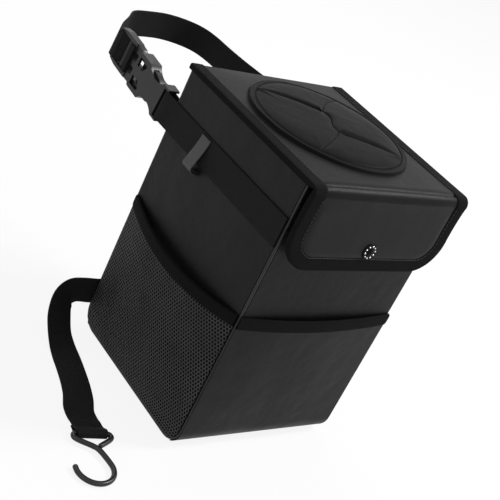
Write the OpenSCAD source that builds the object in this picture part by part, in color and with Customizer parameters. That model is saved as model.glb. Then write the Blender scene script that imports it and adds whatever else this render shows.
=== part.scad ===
// Car litter bin: a square leatherette bag with a padded lid that four petals close,
// a snap-down front flap, one front and two mesh side pockets, a hanging strap with a
// side-release buckle behind, and a lower strap that ends in a wire hook.
// +Z is up, -Y is the front, -X is the side with the buckle, and the origin is the
// middle of the foot.

/* [Body] */
// Width of the body, left to right
body_w = 160; // [150:1:190]
// Depth of the body, front to back
body_d = 160; // [150:1:190]
// Height of the body, foot to rim
body_h = 245; // [225:1:290]
// Radius of the lower front and back edges
corner_r = 18; // [14:1:22]
// Thickness of the leatherette
skin_t = 1.2; // [0.8:0.1:1.6]
// Thickness of the stiffener boards
board_t = 2; // [1.5:0.1:3]
// Thickness of the leakproof liner
liner_t = 0.8; // [0.5:0.1:1.2]
// Diameter of the piping in the side seams
piping_d = 2.4; // [2:0.1:3]
// Thickness of the binding tape
tape_t = 0.8; // [0.6:0.1:1]
// Width of the binding tape that shows on a face
tape_w = 12; // [10:0.5:14]

/* [Lid] */
// How far the lid stands out past each side
lid_side = 3; // [2:0.5:5]
// How far the lid stands out past the front
lid_front = 8.5; // [7.5:0.5:10]
// Thickness of the lid board with its skin
lid_t = 3.2; // [2.5:0.1:4]
// Radius of the raised ring, to the middle of its bead
ring_r = 64.5; // [60:0.5:68]
// Diameter of the bead on the raised ring
bead_d = 5.4; // [5:0.2:7]
// Height of the foam round the petals above the lid
foam_t = 3.5; // [3:0.1:4.5]
// Half of the square mouth that the petals close
mouth_half = 43; // [40:0.5:45]
// How far a petal swells above its edge
petal_crown = 4; // [2:0.5:6]
// Gap between a petal and its neighbours
petal_gap = 0.3; // [0.3:0.1:0.6]

/* [Flap] */
// Drop of the flap below the lid
flap_drop = 68; // [60:1:80]
// Thickness of the flap board with its skin
flap_t = 3; // [2.5:0.1:4]
// Radius of the lower corners of the flap
flap_r = 28; // [20:1:34]
// Angle at which the flap stands off the front
flap_tilt = 3.5; // [2:0.5:5]
// Diameter of the snap cap
snap_d = 14; // [12:0.5:16]
// Height of the middle of the snap above the foot of the flap
snap_up = 18; // [18:0.5:22]

/* [Pockets] */
// Height of the pocket tops at the seams
pocket_top = 131; // [115:1:150]
// Sag of the mesh pocket tops between the seams
mesh_sag = 8; // [0:0.5:12]
// Sag of the front pocket top between the seams
front_sag = 2; // [0:0.5:6]
// How far a mesh pocket bulges at its top
mesh_bulge = 9; // [8.5:0.5:12]
// How far the front pocket bulges at its top
front_bulge = 8; // [7.5:0.5:11]
// Thickness of the pocket cloth
pocket_t = 1; // [0.8:0.1:1.4]
// Width of the pocket hems
hem_w = 11; // [9:0.5:13]
// Columns of gaps in the mesh
net_columns = 12; // [8:1:12]
// Rows of gaps in the mesh
net_rows = 9; // [6:1:10]

/* [Straps and buckle] */
// Width of the webbing
web_w = 25; // [20:1:27]
// Thickness of the webbing
web_t = 1.4; // [1:0.1:1.8]
// Height of the middle of the upper webbing
band_z = 203.5; // [190:0.5:210]
// Free webbing between the back edge and the buckle
strap_gap = 12; // [8:0.5:16]
// Angle at which the buckle rises away from the bin
buckle_tilt = 6; // [0:0.5:10]
// Length of the buckle's receiver
receiver_l = 52; // [48:1:56]
// Width of the buckle at its mouth
buckle_w = 32.4; // [31:0.2:35]
// Thickness of the buckle's receiver
receiver_t = 10.4; // [9:0.2:12]
// Wall between the receiver's faces and the space for the plug
receiver_wall = 2.4; // [1.8:0.1:3]
// Length of the plug that shows past the receiver
plug_l = 37; // [34:1:40]
// Running clearance round the plug
plug_gap = 0.3; // [0.2:0.05:0.4]
// Width of the side loops
loop_w = 12; // [10:0.5:14]
// Distance of the side loops from the back edge
loop_back = 50; // [40:1:60]

/* [Hook] */
// Diameter of the hook's coated wire
wire_d = 4.2; // [3.8:0.1:5]
// Radius of the hook to the middle of its wire
hook_r = 15; // [12:0.5:18]

/* [Hidden] */
$fn = 64;

skin_color = "#2b2b2d";
top_color = "#38383a";
tape_color = "#161617";
web_color = "#1a1a1b";
plastic_color = "#2a2a2c";
mesh_color = "#242426";
board_color = "#6b6256";
liner_color = "#4a4a4d";

// Depths into the wall, from the outside
in_board = skin_t;
in_liner = skin_t + board_t;
in_room = in_liner + liner_t;
stack_top = body_h - tape_t;

// The lid lies on the rim with a small gap, tape below and above its board
lid_gap = 0.3;
lid_z = body_h + lid_gap;
board_z = lid_z + tape_t;
board_top = board_z + lid_t;
lid_top = board_top + tape_t;
lid_y = -body_d / 2 - lid_front;
lid_half = body_w / 2 + lid_side;
mitre_gap = 0.15;
hinge_z = board_top + foam_t;
under_cut = 3;
petal_skin = 0.5;
petal_seat = 0.4;

// Buckle, measured along the strap from the receiver's end
bar_r = 2;
bar_u = bar_r + 0.1;
slot_end = 6.2;
room_start = 11;
room_half = buckle_w / 2 - 2.9;
window_from = receiver_l - 16;
window_to = receiver_l - 3.2;
window_in = 4.6;
window_out = 12.4;
waist_u = 20.5;
waist_half = 9.75;
waist_r = 16;
web_slack = 0.4;
plug_u = receiver_l + 10;
plug_end = receiver_l + plug_l;
plug_t = receiver_t - 2 * receiver_wall - 2 * plug_gap;
frame_t = 6.4;
ladder_start = plug_u + 4.2;
ladder_bar = plug_u + 11.5;
ladder_end = plug_end - 4.5;
ladder_r = 2.2;
buckle_x = -body_w / 2 + bar_r + 0.1;

// Hook, measured from the middle of its bar
ring_half = web_w / 2 + wire_d / 2 + 1;
ring_shoulder = 4.8;
bar_hole_r = wire_d / 2 + 0.1;
hem_r = bar_hole_r + web_t;
hook_foot = 0.05;
hook_at = [-144.5, -58, hem_r + hook_foot];
hook_turn = 10;
hook_centre = [-8, 35];
hook_lean = asin((hook_at.z - wire_d / 2 - hook_foot) / (hook_centre.y + hook_r));
hem_tail = 14;

// Vectors and curves
function unit(v) = v / norm(v);
function spline(p, i, t) = let (
    a = p[max(i - 1, 0)], b = p[i], c = p[i + 1], d = p[min(i + 2, len(p) - 1)]
) 0.5 * (2 * b + (c - a) * t + (2 * a - 5 * b + 4 * c - d) * t * t
    + (3 * b - a - 3 * c + d) * t * t * t);
function smooth(p, n) = [
    for (i = [0 : len(p) - 2], k = [0 : n - 1]) spline(p, i, k / n), p[len(p) - 1]
];

// Solid between closed rings of points that run anticlockwise seen from the last ring.
// A ring of a thin sheet runs out along one face and back along the other, so its ends
// are closed by a strip between the two faces, and any other ring by one flat face
module loft(rings, sheet = false) {
    n = len(rings[0]);
    last = (len(rings) - 1) * n;
    function strip(from, flip) = [for (j = [0 : n / 2 - 2]) each [
        flip ? [from + j, from + n - 2 - j, from + j + 1]
            : [from + j, from + j + 1, from + n - 2 - j],
        flip ? [from + j, from + n - 1 - j, from + n - 2 - j]
            : [from + j, from + n - 2 - j, from + n - 1 - j]
    ]];
    polyhedron(
        points = [for (r = rings, q = r) q],
        faces = concat(
            sheet ? strip(0, false) : [[for (j = [0 : n - 1]) j]],
            sheet ? strip(last, true) : [[for (j = [n - 1 : -1 : 0]) last + j]],
            [for (i = [0 : len(rings) - 2], j = [0 : n - 1]) let (k = (j + 1) % n)
                each [[i * n + j, (i + 1) * n + j, (i + 1) * n + k],
                    [i * n + j, (i + 1) * n + k, i * n + k]]]
        )
    );
}

// Flat webbing along a route of [x, y, z, a, b, c], where a, b, c points across it
module webbing(route, steps) {
    p = smooth(route, steps);
    function place(q) = [q[0], q[1], q[2]];
    loft([for (i = [0 : len(p) - 1]) let (
        t = unit(place(p[min(i + 1, len(p) - 1)]) - place(p[max(i - 1, 0)])),
        across = [p[i][3], p[i][4], p[i][5]],
        w = unit(across - (across * t) * t),
        a = w * web_w / 2,
        b = cross(t, w) * web_t / 2
    ) [place(p[i]) + a + b, place(p[i]) - a + b, place(p[i]) - a - b,
        place(p[i]) + a - b]], true);
}

// Round wire along points [x, y] of a plane
module wire(route, steps) {
    p = smooth(route, steps);
    sides = 10;
    loft([for (i = [0 : len(p) - 1]) let (
        t = unit(p[min(i + 1, len(p) - 1)] - p[max(i - 1, 0)])
    ) [for (k = [0 : sides - 1]) let (
        a = 360 * k / sides,
        out = wire_d / 2 * cos(a)
    ) [p[i].x - out * t.y, p[i].y + out * t.x, wire_d / 2 * sin(a)]]]);
}

// Extrudes a drawing in Y and Z from x0 to x1
module across(x0, x1) {
    translate([x0, 0, 0]) rotate([90, 0, 90]) linear_extrude(x1 - x0) children();
}

// Extrudes a drawing in X and Z from y0 to y1
module frontways(y0, y1) {
    translate([0, y1, 0]) rotate([90, 0, 0]) linear_extrude(y1 - y0) children();
}

module block(low, high) {
    translate(low) cube(high - low);
}

// Side view of the body, with round lower corners and a square top
module side_outline(inset, top) {
    half = body_d / 2 - inset;
    r = corner_r - inset;
    translate([-half, corner_r]) square([2 * half, top - corner_r]);
    translate([r - half, inset]) square([2 * (half - r), corner_r - inset + 0.01]);
    for (s = [-1, 1]) translate([s * (half - r), corner_r]) circle(r);
}

module wrap_panel() {
    color(skin_color) across(piping_d - body_w / 2, body_w / 2 - piping_d) difference() {
        side_outline(0, stack_top);
        side_outline(skin_t, body_h + 1);
    }
}

module side_panel() {
    color(skin_color) across(-body_w / 2, skin_t - body_w / 2)
        side_outline(piping_d, stack_top);
}

// Round cord sewn into the seam all round a side panel
module piping() {
    r = piping_d / 2;
    path_r = corner_r - r;
    run = body_d / 2 - corner_r;
    color(skin_color) translate([r - body_w / 2, 0, 0]) {
        for (s = [-1, 1]) {
            translate([0, s * (body_d / 2 - r), corner_r])
                cylinder(r = r, h = stack_top - corner_r);
            translate([0, s * run, corner_r]) rotate([90, 0, 90])
                rotate([0, 0, s > 0 ? -90 : 180])
                rotate_extrude(angle = 90) translate([path_r, 0]) circle(r);
        }
        translate([0, -run, r]) rotate([-90, 0, 0]) cylinder(r = r, h = 2 * run);
    }
}

module end_board() {
    half = body_w / 2 - in_liner;
    color(board_color) frontways(in_board - body_d / 2, in_liner - body_d / 2)
        translate([-half, corner_r]) square([2 * half, stack_top - corner_r]);
}

module side_board() {
    color(board_color) across(in_board - body_w / 2, in_liner - body_w / 2)
        side_outline(in_liner, stack_top);
}

module bottom_board() {
    run = body_d / 2 - corner_r;
    color(board_color) block([in_liner - body_w / 2, -run, in_board],
        [body_w / 2 - in_liner, run, in_liner]);
}

module liner() {
    color(liner_color) difference() {
        across(in_liner - body_w / 2, body_w / 2 - in_liner)
            side_outline(in_liner, stack_top);
        across(in_room - body_w / 2, body_w / 2 - in_room)
            side_outline(in_room, body_h + 1);
    }
}

// Tape folded over the top edge of the walls and down inside
module rim_binding() {
    module prism(inset, low, high) {
        block([inset - body_w / 2, inset - body_d / 2, low],
            [body_w / 2 - inset, body_d / 2 - inset, high]);
    }
    color(tape_color) difference() {
        union() {
            prism(0, stack_top, body_h);
            prism(in_room, body_h - tape_w, body_h);
        }
        prism(in_room + tape_t, 0, body_h + 1);
    }
}

// Tape on the back wall that the lid turns on, its top clear of the opened lid
module hinge_tape() {
    color(tape_color) block([tape_w - body_w / 2, body_d / 2, body_h - tape_w],
        [body_w / 2 - tape_w, body_d / 2 + tape_t, body_h - 2 * tape_t]);
}

// Pockets. A point of a pocket is given by u, from 0 to 1 across, and by its height.
// How far the round lower edge cuts in at height z
function cut_in(z) = z < corner_r ?
    corner_r - sqrt(corner_r * corner_r - pow(corner_r - z, 2)) : 0;
front_foot = 8;
mesh_foot = 3;
side_edge = piping_d;
cloth_seat = 0.2;
net_top = pocket_top - hem_w;
function crown(u) = 1 - pow(2 * u - 1, 2);
function top_of(u, front) = net_top - (front ? front_sag : mesh_sag) * crown(u);
function bulge_of(u, z, front) = let (
    foot = front ? front_foot : mesh_foot,
    share = (z - foot) / (pocket_top - foot)
) (front ? front_bulge : mesh_bulge) * crown(u) * sin(90 * min(share, 1));
// Places a point on the front wall, or on the left wall, lifted off it
function on_front(u, z, lift) = [
    (2 * u - 1) * body_w / 2,
    cut_in(z) - body_d / 2 - bulge_of(u, z, true) - lift, z
];
function on_left(u, z, lift) = [
    -body_w / 2 - bulge_of(u, z, false) - lift,
    (1 - 2 * u) * (body_d / 2 - side_edge - cut_in(z)), z
];
function on_wall(u, z, lift, front) = front ? on_front(u, z, lift) : on_left(u, z, lift);

// Curved sheet whose foot and top follow the functions above, thick outwards from lift
// with its rows closer near the foot, where the wall is round
module pocket_sheet(front, hem, lift, thick, columns, rows) {
    function z_at(u, v) = let (low = hem ? top_of(u, front) : front_foot)
        low + (hem ? v * hem_w : pow(v, 1.8) * (top_of(u, front) - low));
    loft([for (j = [0 : rows]) [
        for (i = [columns : -1 : 0]) let (u = i / columns)
            on_wall(u, z_at(u, j / rows), lift, front),
        for (i = [0 : columns]) let (u = i / columns)
            on_wall(u, z_at(u, j / rows), lift + thick, front)
    ]], true);
}

// Net of diamond gaps, each in its own four-sided cell of the curved sheet
module pocket_net() {
    gap_share = 0.36;
    nu = net_columns;
    nv = net_rows;
    function z_at(u, v) = mesh_foot + v * (top_of(u, false) - mesh_foot);
    function lattice(a, b, side) = let (u = a / nu)
        on_left(u, z_at(u, b / nv), side * pocket_t);
    diamond = [[0.5, 0.5 - gap_share], [0.5 + gap_share, 0.5],
        [0.5, 0.5 + gap_share], [0.5 - gap_share, 0.5]];
    corners = [[0, 0], [1, 0], [1, 1], [0, 1]];
    knots = (nu + 1) * (nv + 1);
    per_side = knots + 4 * nu * nv;
    function knot(i, j, side) = side * per_side + j * (nu + 1) + i;
    function gap(i, j, k, side) = side * per_side + knots + 4 * (j * nu + i) + k;
    function turned(f, side) = side == 1 ? f : [f[2], f[1], f[0]];
    color(mesh_color) polyhedron(
        points = [for (side = [0, 1]) each concat(
            [for (j = [0 : nv], i = [0 : nu]) lattice(i, j, side)],
            [for (j = [0 : nv - 1], i = [0 : nu - 1], k = [0 : 3])
                lattice(i + diamond[k].x, j + diamond[k].y, side)]
        )],
        faces = [
            for (side = [0, 1], j = [0 : nv - 1], i = [0 : nu - 1], k = [0 : 3]) let (
                m = (k + 1) % 4,
                c = knot(i + corners[k].x, j + corners[k].y, side),
                d = knot(i + corners[m].x, j + corners[m].y, side)
            ) each [turned([d, c, gap(i, j, k, side)], side),
                turned([gap(i, j, m, side), d, gap(i, j, k, side)], side)],
            for (j = [0 : nv - 1], i = [0 : nu - 1], k = [0 : 3]) let (m = (k + 1) % 4)
                each [[gap(i, j, k, 0), gap(i, j, m, 0), gap(i, j, m, 1)],
                    [gap(i, j, k, 0), gap(i, j, m, 1), gap(i, j, k, 1)]],
            for (i = [0 : nu - 1]) each [
                [knot(i + 1, 0, 0), knot(i, 0, 0), knot(i, 0, 1)],
                [knot(i + 1, 0, 0), knot(i, 0, 1), knot(i + 1, 0, 1)],
                [knot(i, nv, 0), knot(i + 1, nv, 0), knot(i + 1, nv, 1)],
                [knot(i, nv, 0), knot(i + 1, nv, 1), knot(i, nv, 1)]
            ],
            for (j = [0 : nv - 1]) each [
                [knot(0, j, 0), knot(0, j + 1, 0), knot(0, j + 1, 1)],
                [knot(0, j, 0), knot(0, j + 1, 1), knot(0, j, 1)],
                [knot(nu, j + 1, 0), knot(nu, j, 0), knot(nu, j, 1)],
                [knot(nu, j + 1, 0), knot(nu, j, 1), knot(nu, j + 1, 1)]
            ]
        ]
    );
}

module front_pocket() {
    color(skin_color) pocket_sheet(true, false, cloth_seat, pocket_t, 16, 14);
}

module front_pocket_hem() {
    color(tape_color) pocket_sheet(true, true, cloth_seat, pocket_t + tape_t, 16, 2);
}

module mesh_hem() {
    color(tape_color) pocket_sheet(false, true, 0, pocket_t + tape_t, 16, 2);
}

// Loop of narrow tape that stands off the webbing: down, out to a fold and back in
module side_loop() {
    wall = body_w / 2 + web_t;
    top = band_z + web_w / 2 - 2;
    fold = [7.5, band_z - web_w / 2 - 2];
    foot = fold.y - 6;
    t = 1;
    color(skin_color) frontways(body_d / 2 - loop_back - loop_w / 2,
        body_d / 2 - loop_back + loop_w / 2) polygon([
            [-wall, top], [-wall - fold.x, fold.y + 3], [-wall - fold.x - 0.5, fold.y],
            [-wall - fold.x + 1, fold.y - 2.5], [-wall, foot], [-wall, foot + t],
            [-wall - fold.x + 1.8, fold.y - 1.5], [-wall - fold.x + 0.5, fold.y],
            [-wall - fold.x + t, fold.y + 3], [-wall, top - 3]
        ]);
}

// Places what follows at the end of the strap, with Y along the strap from its gap
module at_buckle() {
    translate([buckle_x, body_d / 2, band_z]) rotate([buckle_tilt, 0, 0])
        translate([0, strap_gap, 0]) children();
}

// Webbing sewn along the left side, out past the back edge and round the buckle's bar
module left_strap() {
    inner = bar_r + 0.1;
    color(web_color) {
        block([-body_w / 2 - web_t, side_edge - body_d / 2, band_z - web_w / 2],
            [-body_w / 2, body_d / 2, band_z + web_w / 2]);
        at_buckle() translate([0, 0, -web_w / 2]) linear_extrude(web_w) {
            translate([-inner - web_t, -strap_gap]) square([web_t, strap_gap + bar_u]);
            translate([inner, 2 - strap_gap]) square([web_t, strap_gap + bar_u - 2]);
            translate([0, bar_u]) difference() {
                circle(inner + web_t);
                circle(inner);
                translate([-2 * web_w, -4 * web_w]) square(4 * web_w);
            }
        }
    }
}

// Buckle receiver seen flat, from its bar end to its mouth
module receiver_outline() {
    round_r = 3;
    difference() {
        union() {
            translate([0, -buckle_w / 2 + 1.4]) square([waist_u, buckle_w - 2.8]);
            translate([waist_u, -buckle_w / 2])
                square([receiver_l - waist_u - round_r, buckle_w]);
            translate([receiver_l - round_r - 0.01, round_r - buckle_w / 2])
                square([round_r + 0.01, buckle_w - 2 * round_r]);
            for (s = [-1, 1]) translate([receiver_l - round_r,
                s * (buckle_w / 2 - round_r)]) circle(round_r);
        }
        for (s = [-1, 1]) translate([waist_u, s * (waist_half + waist_r)])
            circle(waist_r);
    }
}

module buckle_receiver() {
    half = receiver_t / 2;
    inside = half - receiver_wall;
    slot_half = web_w / 2 + web_slack;
    color(plastic_color) at_buckle() {
        difference() {
            across(-half, half) receiver_outline();
            block([-half - 1, -1, -slot_half], [half + 1, slot_end, slot_half]);
            block([-inside, room_start, -room_half],
                [inside, receiver_l + 1, room_half]);
            for (s = [0, 1]) mirror([0, 0, s]) across(-half - 1, half + 1) polygon([
                [window_from, window_out - 2], [window_from + 4, window_in],
                [window_to, window_in], [window_to, window_out],
                [window_from + 2, window_out]
            ]);
        }
        translate([0, bar_u, -slot_half - 0.6]) cylinder(r = bar_r,
            h = 2 * slot_half + 1.2);
    }
}

// Plug seen flat: two latch arms and a guide in front of a wide shoulder
module plug_outline() {
    head = room_half - plug_gap;
    for (s = [0, 1]) mirror([0, s]) {
        polygon([[31, 8.4], [31, head], [25, head], [19, head - 1.6],
            [15.2, head - 4.6], [15.2, head - 6.2], [18, head - 6.6], [24, 7.6]]);
        translate([30.9, 9.2]) square([plug_u - 30.9, 2.8]);
        polygon([[receiver_l + 0.6, 9.2], [receiver_l + 0.6, 14.2],
            [receiver_l + 2.4, buckle_w / 2 - 0.4], [plug_u + 0.1, buckle_w / 2],
            [plug_u + 0.1, 9.2]]);
    }
    translate([24, -2.6]) square([plug_u - 24 + 0.1, 5.2]);
    translate([24, 0]) circle(2.6);
}

// Plug with its three-bar frame, where the long strap is threaded
module buckle_plug() {
    slot_half = web_w / 2 + web_slack;
    flare = 1.8;
    color(plastic_color) at_buckle() {
        across(-plug_t / 2, plug_t / 2) plug_outline();
        difference() {
            across(-frame_t / 2, frame_t / 2) polygon([
                [plug_u, -buckle_w / 2], [ladder_end - 4, -buckle_w / 2],
                [plug_end, flare - buckle_w / 2], [plug_end, buckle_w / 2 - flare],
                [ladder_end - 4, buckle_w / 2], [plug_u, buckle_w / 2]
            ]);
            block([-frame_t, ladder_start, -slot_half],
                [frame_t, ladder_end, slot_half]);
        }
        translate([0, ladder_bar, -slot_half - 0.6]) cylinder(r = ladder_r,
            h = 2 * slot_half + 1.2);
    }
}

// A point beside the buckle: u along it from the receiver's end, out from its middle
function by_buckle(u, out) = [
    buckle_x - out,
    body_d / 2 + (strap_gap + u) * cos(buckle_tilt),
    band_z + (strap_gap + u) * sin(buckle_tilt), 0, -sin(buckle_tilt), cos(buckle_tilt)
];
over = frame_t / 2 + web_t / 2 + 0.25;
under = ladder_r + web_t / 2 + 0.15;
right_x = body_w / 2 + web_t / 2;
behind = body_d / 2;
long_route = [
    by_buckle(plug_u + 0.5, over), by_buckle(plug_u + 2.5, over),
    by_buckle(ladder_start + 0.3, over - 0.05), by_buckle(ladder_start + 1.6, over - 1.6),
    by_buckle(ladder_start + 2.6, over - 4.2), by_buckle(ladder_bar - 1.6, 0.2 - under),
    by_buckle(ladder_bar, -under), by_buckle(ladder_bar + 1.8, 0.3 - under),
    by_buckle(ladder_bar + 5.2, over - 4.2), by_buckle(ladder_end - 1.4, over - 1.4),
    by_buckle(ladder_end - 0.2, over - 0.1), by_buckle(ladder_end + 1.5, over),
    by_buckle(plug_end + 0.3, over), by_buckle(plug_end + 2.5, over - 0.9),
    by_buckle(plug_end + 6, 0.5),
    by_buckle(plug_end + 13, -5), by_buckle(plug_end + 24, -16),
    [-42, behind + 146, 214, 0, 0, 1], [-21, behind + 153, 213.5, 0, 0, 1],
    [2, behind + 156.5, 213, 0, 0, 1], [22, behind + 152, 212.5, 0, 0, 1],
    [35, behind + 142, 212, 0, 0, 1], [41.5, behind + 128, 211, 0, 0, 1],
    [44.5, behind + 112, 210, 0, 0, 1], [50, behind + 92, 208.5, 0, 0, 1],
    [58, behind + 70, 207, 0, 0, 1], [67, behind + 48, 205.5, 0, 0, 1],
    [75, behind + 28, 204.2, 0, 0, 1], [79.8, behind + 12, band_z + 0.2, 0, 0, 1],
    [right_x, behind - 2, band_z, 0, 0, 1], [right_x, behind - 30, band_z, 0, 0, 1],
    [right_x, -behind / 4, band_z, 0, 0, 1], [right_x, side_edge - behind, band_z, 0, 0, 1]
];
module long_strap() {
    color(web_color) webbing(long_route, 2);
}

// Lower strap: sewn to the back, out past the left edge, down and forward on the floor,
// then folded round the bar of the hook and back under itself
flat_z = web_t / 2 + hook_foot;
turn_r = bar_hole_r + web_t / 2;
function behind_hook(s, z) = [
    hook_at.x + s * sin(hook_turn), hook_at.y + s * cos(hook_turn), z,
    -cos(hook_turn), sin(hook_turn), 0
];
back_y = body_d / 2 + web_t / 2;
lower_route = concat([
    [-48, back_y, 30, 0, 0, 1], [-64, back_y, 30, 0, 0, 1],
    [-80, back_y + 0.2, 30, 0, 0, 1], [-94, back_y + 1, 30.5, 0, 0, 1],
    [-105, back_y - 1, 29, -0.1, 0.3, 1], [-112, back_y - 6, 23.5, -0.5, 0.4, 0.8],
    [-116, back_y - 15, 15.5, -0.8, 0.3, 0.5], [-118, back_y - 25, 8.5, -1, 0.1, 0.3],
    [-119, back_y - 36, 3.4, -1, 0, 0.1], [-120.5, back_y - 48, flat_z + 0.3, -1, 0, 0],
    [-124, 16, flat_z, -1, 0, 0], [-128, 0, flat_z, -1, 0, 0],
    [-133, -15, flat_z, -1, 0, 0], behind_hook(30, flat_z), behind_hook(20, flat_z),
    behind_hook(hem_tail, flat_z + web_t), behind_hook(8, flat_z + web_t + 0.8),
    behind_hook(4, hook_at.z + 1.25)
], [for (a = [64 : 34.3 : 270])
    behind_hook(turn_r * cos(a), hook_at.z + turn_r * sin(a))
], [behind_hook(turn_r / 2, flat_z), behind_hook(hem_tail - 3, flat_z)]);
module lower_strap() {
    color(web_color) webbing(lower_route, 3);
}

// Coated wire hook: a ring with a straight bar in the hem, a shank and a round hook.
// The wire starts beside the top of the ring and goes round it first
ring_start = [3.9, 12.4];
hook_sweep = [for (a = [-14 : 16.5 : 184]) hook_centre + hook_r * [cos(a), sin(a)]];
hook_route = concat([
    ring_start, [ring_half - 3.5, 7.2], [ring_half - 0.3, ring_shoulder - 0.8],
    [ring_half - 0.8, 0.9], [ring_half - 3, 0], [0, 0], [3 - ring_half, 0],
    [0.8 - ring_half, 0.9], [0.3 - ring_half, ring_shoulder - 0.8],
    [3.5 - ring_half, 7.2], [-3, 12.6], [1, 16.2], [4, 23]
], hook_sweep);
module hook() {
    color(plastic_color) translate(hook_at) rotate([hook_lean, 0, -hook_turn])
        mirror([0, 1, 0]) wire(hook_route, 3);
}

// Lid. The cut that lets the lid and the flap fold at their outer corner
module at_crease() {
    translate([0, lid_y, lid_top]) children();
}

module lid_side_of_crease() {
    at_crease() across(-body_w, body_w) polygon([
        [-lid_front, -lid_front * 3], [-lid_front, lid_front + mitre_gap],
        [2 * lid_front, mitre_gap - 2 * lid_front], [2 * lid_front, -lid_front * 3]
    ]);
}

module lid_panel() {
    half = lid_half - tape_t;
    hole = mouth_half + under_cut;
    color(top_color) difference() {
        block([-half, lid_y, board_z], [half, body_d / 2, board_top]);
        block([-hole, -hole, 0], [hole, hole, body_h * 2]);
        lid_side_of_crease();
    }
}

// Tape folded over one side edge of the lid, seen from above and below
module lid_binding() {
    color(tape_color) difference() {
        block([-lid_half, lid_y, lid_z], [tape_w - lid_half, body_d / 2, lid_top]);
        block([tape_t - lid_half, lid_y - 1, board_z],
            [tape_w, body_d / 2 + 1, board_top]);
        lid_side_of_crease();
    }
}

// Foam disc inside the ring, with the square mouth, wider below where petals swing
module petal_surround() {
    hole = mouth_half + under_cut;
    edge = mouth_half + petal_seat;
    color(top_color) translate([0, 0, board_top]) difference() {
        cylinder(r = ring_r - bead_d / 2, h = foam_t, $fn = 128);
        block([-hole, -hole, -1], [hole, hole, foam_t - petal_skin]);
        block([-edge, -edge, -1], [edge, edge, foam_t + 1]);
    }
}

// Welt bead on a low wall round the foam
module petal_ring() {
    color(top_color) translate([0, 0, board_top]) rotate_extrude($fn = 128) {
        translate([ring_r - bead_d / 2, 0]) square([bead_d, bead_d / 2]);
        translate([ring_r, bead_d / 2]) circle(d = bead_d);
    }
}

// Seams between the petals, in plan, from the corners of the mouth to two junctions
m = mouth_half;
seam_back_left = [[-m, m], [-28, 38], [-12, 29]];
seam_back_right = [[m, m], [20, 31]];
seam_front_right = [[m, -m], [27, -31], [12, -23]];
seam_front_left = [[-m, -m], [-20, -29]];
junction_back = [4, 16];
junction_front = [-4, -16];
seam_middle = [[5.2, 10], [4, 4], [0, -2], [-3.6, -8]];
function reversed(p) = [for (i = [len(p) - 1 : -1 : 0]) p[i]];
function mean(p) = [for (q = p) 1] * p / len(p);

// Stuffed leaf: the outline shrinks inwards as it rises over the edge
module leaf(outline) {
    middle = mean(outline);
    reach = norm(outline[0] - middle);
    edge = 1 - petal_gap / reach * 2;
    levels = [[edge - 0.08, -2.6], [edge - 0.012, 0], [edge - 0.07, 0.35 * petal_crown],
        [edge - 0.15, 0.6 * petal_crown], [edge - 0.29, 0.82 * petal_crown],
        [edge - 0.52, 0.96 * petal_crown], [edge - 0.8, petal_crown]];
    color(top_color) translate([0, 0, hinge_z]) loft([for (level = levels)
        [for (q = outline) let (p = middle + level[0] * (q - middle))
            [p.x, p.y, level[1]]]]);
}

module petal_left() {
    leaf(concat(seam_front_left, [junction_front], reversed(seam_middle),
        [junction_back], reversed(seam_back_left)));
}

module petal_back() {
    leaf(concat([junction_back], reversed(seam_back_right), seam_back_left));
}

module petal_right() {
    leaf(concat(seam_back_right, [junction_back], seam_middle, [junction_front],
        reversed(seam_front_right)));
}

module petal_front() {
    leaf(concat([junction_front], reversed(seam_front_left), seam_front_right));
}

// Flap, drawn hanging from the crease with Y inwards and Z up
module at_flap() {
    at_crease() rotate([-flap_tilt, 0, 0]) children();
}

module flap_outline(inset) {
    half = lid_half - inset;
    r = flap_r - inset;
    foot = inset - flap_drop;
    translate([-half, foot + r]) square([2 * half, -foot - r]);
    translate([r - half, foot]) square([2 * (half - r), r + 0.01]);
    for (s = [-1, 1]) translate([s * (half - r), foot + r]) circle(r);
}

module flap_side_of_crease() {
    across(-body_w, body_w) polygon([
        [-lid_front, lid_front - mitre_gap], [2 * lid_front, -2 * lid_front - mitre_gap],
        [2 * lid_front, lid_front], [-lid_front, 2 * lid_front]
    ]);
}

module flap_panel() {
    color(top_color) at_flap() difference() {
        frontways(tape_t, tape_t + flap_t) flap_outline(tape_t);
        flap_side_of_crease();
    }
}

// Tape folded over the side and lower edges of the flap
module flap_binding() {
    color(tape_color) at_flap() difference() {
        frontways(0, 2 * tape_t + flap_t) flap_outline(0);
        frontways(tape_t, tape_t + flap_t) flap_outline(tape_t);
        frontways(-1, 3 * tape_t + flap_t) union() {
            flap_outline(tape_w);
            translate([tape_w - lid_half, -flap_drop / 2])
                square([2 * (lid_half - tape_w), flap_drop]);
        }
        flap_side_of_crease();
    }
}

// Snap fastener: beaded cap and socket on the flap, stud on the front wall
bead_count = 10;
cap_rise = 2.4;
socket_t = 2.4;
module snap_cap() {
    small_r = 0.95;
    color(plastic_color) at_flap() translate([0, 0, snap_up - flap_drop])
        rotate([90, 0, 0]) {
            translate([0, 0, -tape_t]) cylinder(d = snap_d / 3, h = tape_t);
            cylinder(d = snap_d, h = 0.9);
            translate([0, 0, 0.9]) cylinder(d1 = snap_d - 1.6, d2 = snap_d / 2,
                h = cap_rise - 0.9);
            for (i = [0 : bead_count - 1]) rotate([0, 0, i * 360 / bead_count])
                translate([snap_d / 2 - 2.3, 0, 1.7]) sphere(r = small_r, $fn = 16);
        }
}

module snap_socket() {
    color(plastic_color) at_flap()
        translate([0, tape_t + flap_t + socket_t, snap_up - flap_drop])
        rotate([90, 0, 0]) cylinder(d = snap_d - 2, h = socket_t);
}

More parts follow.
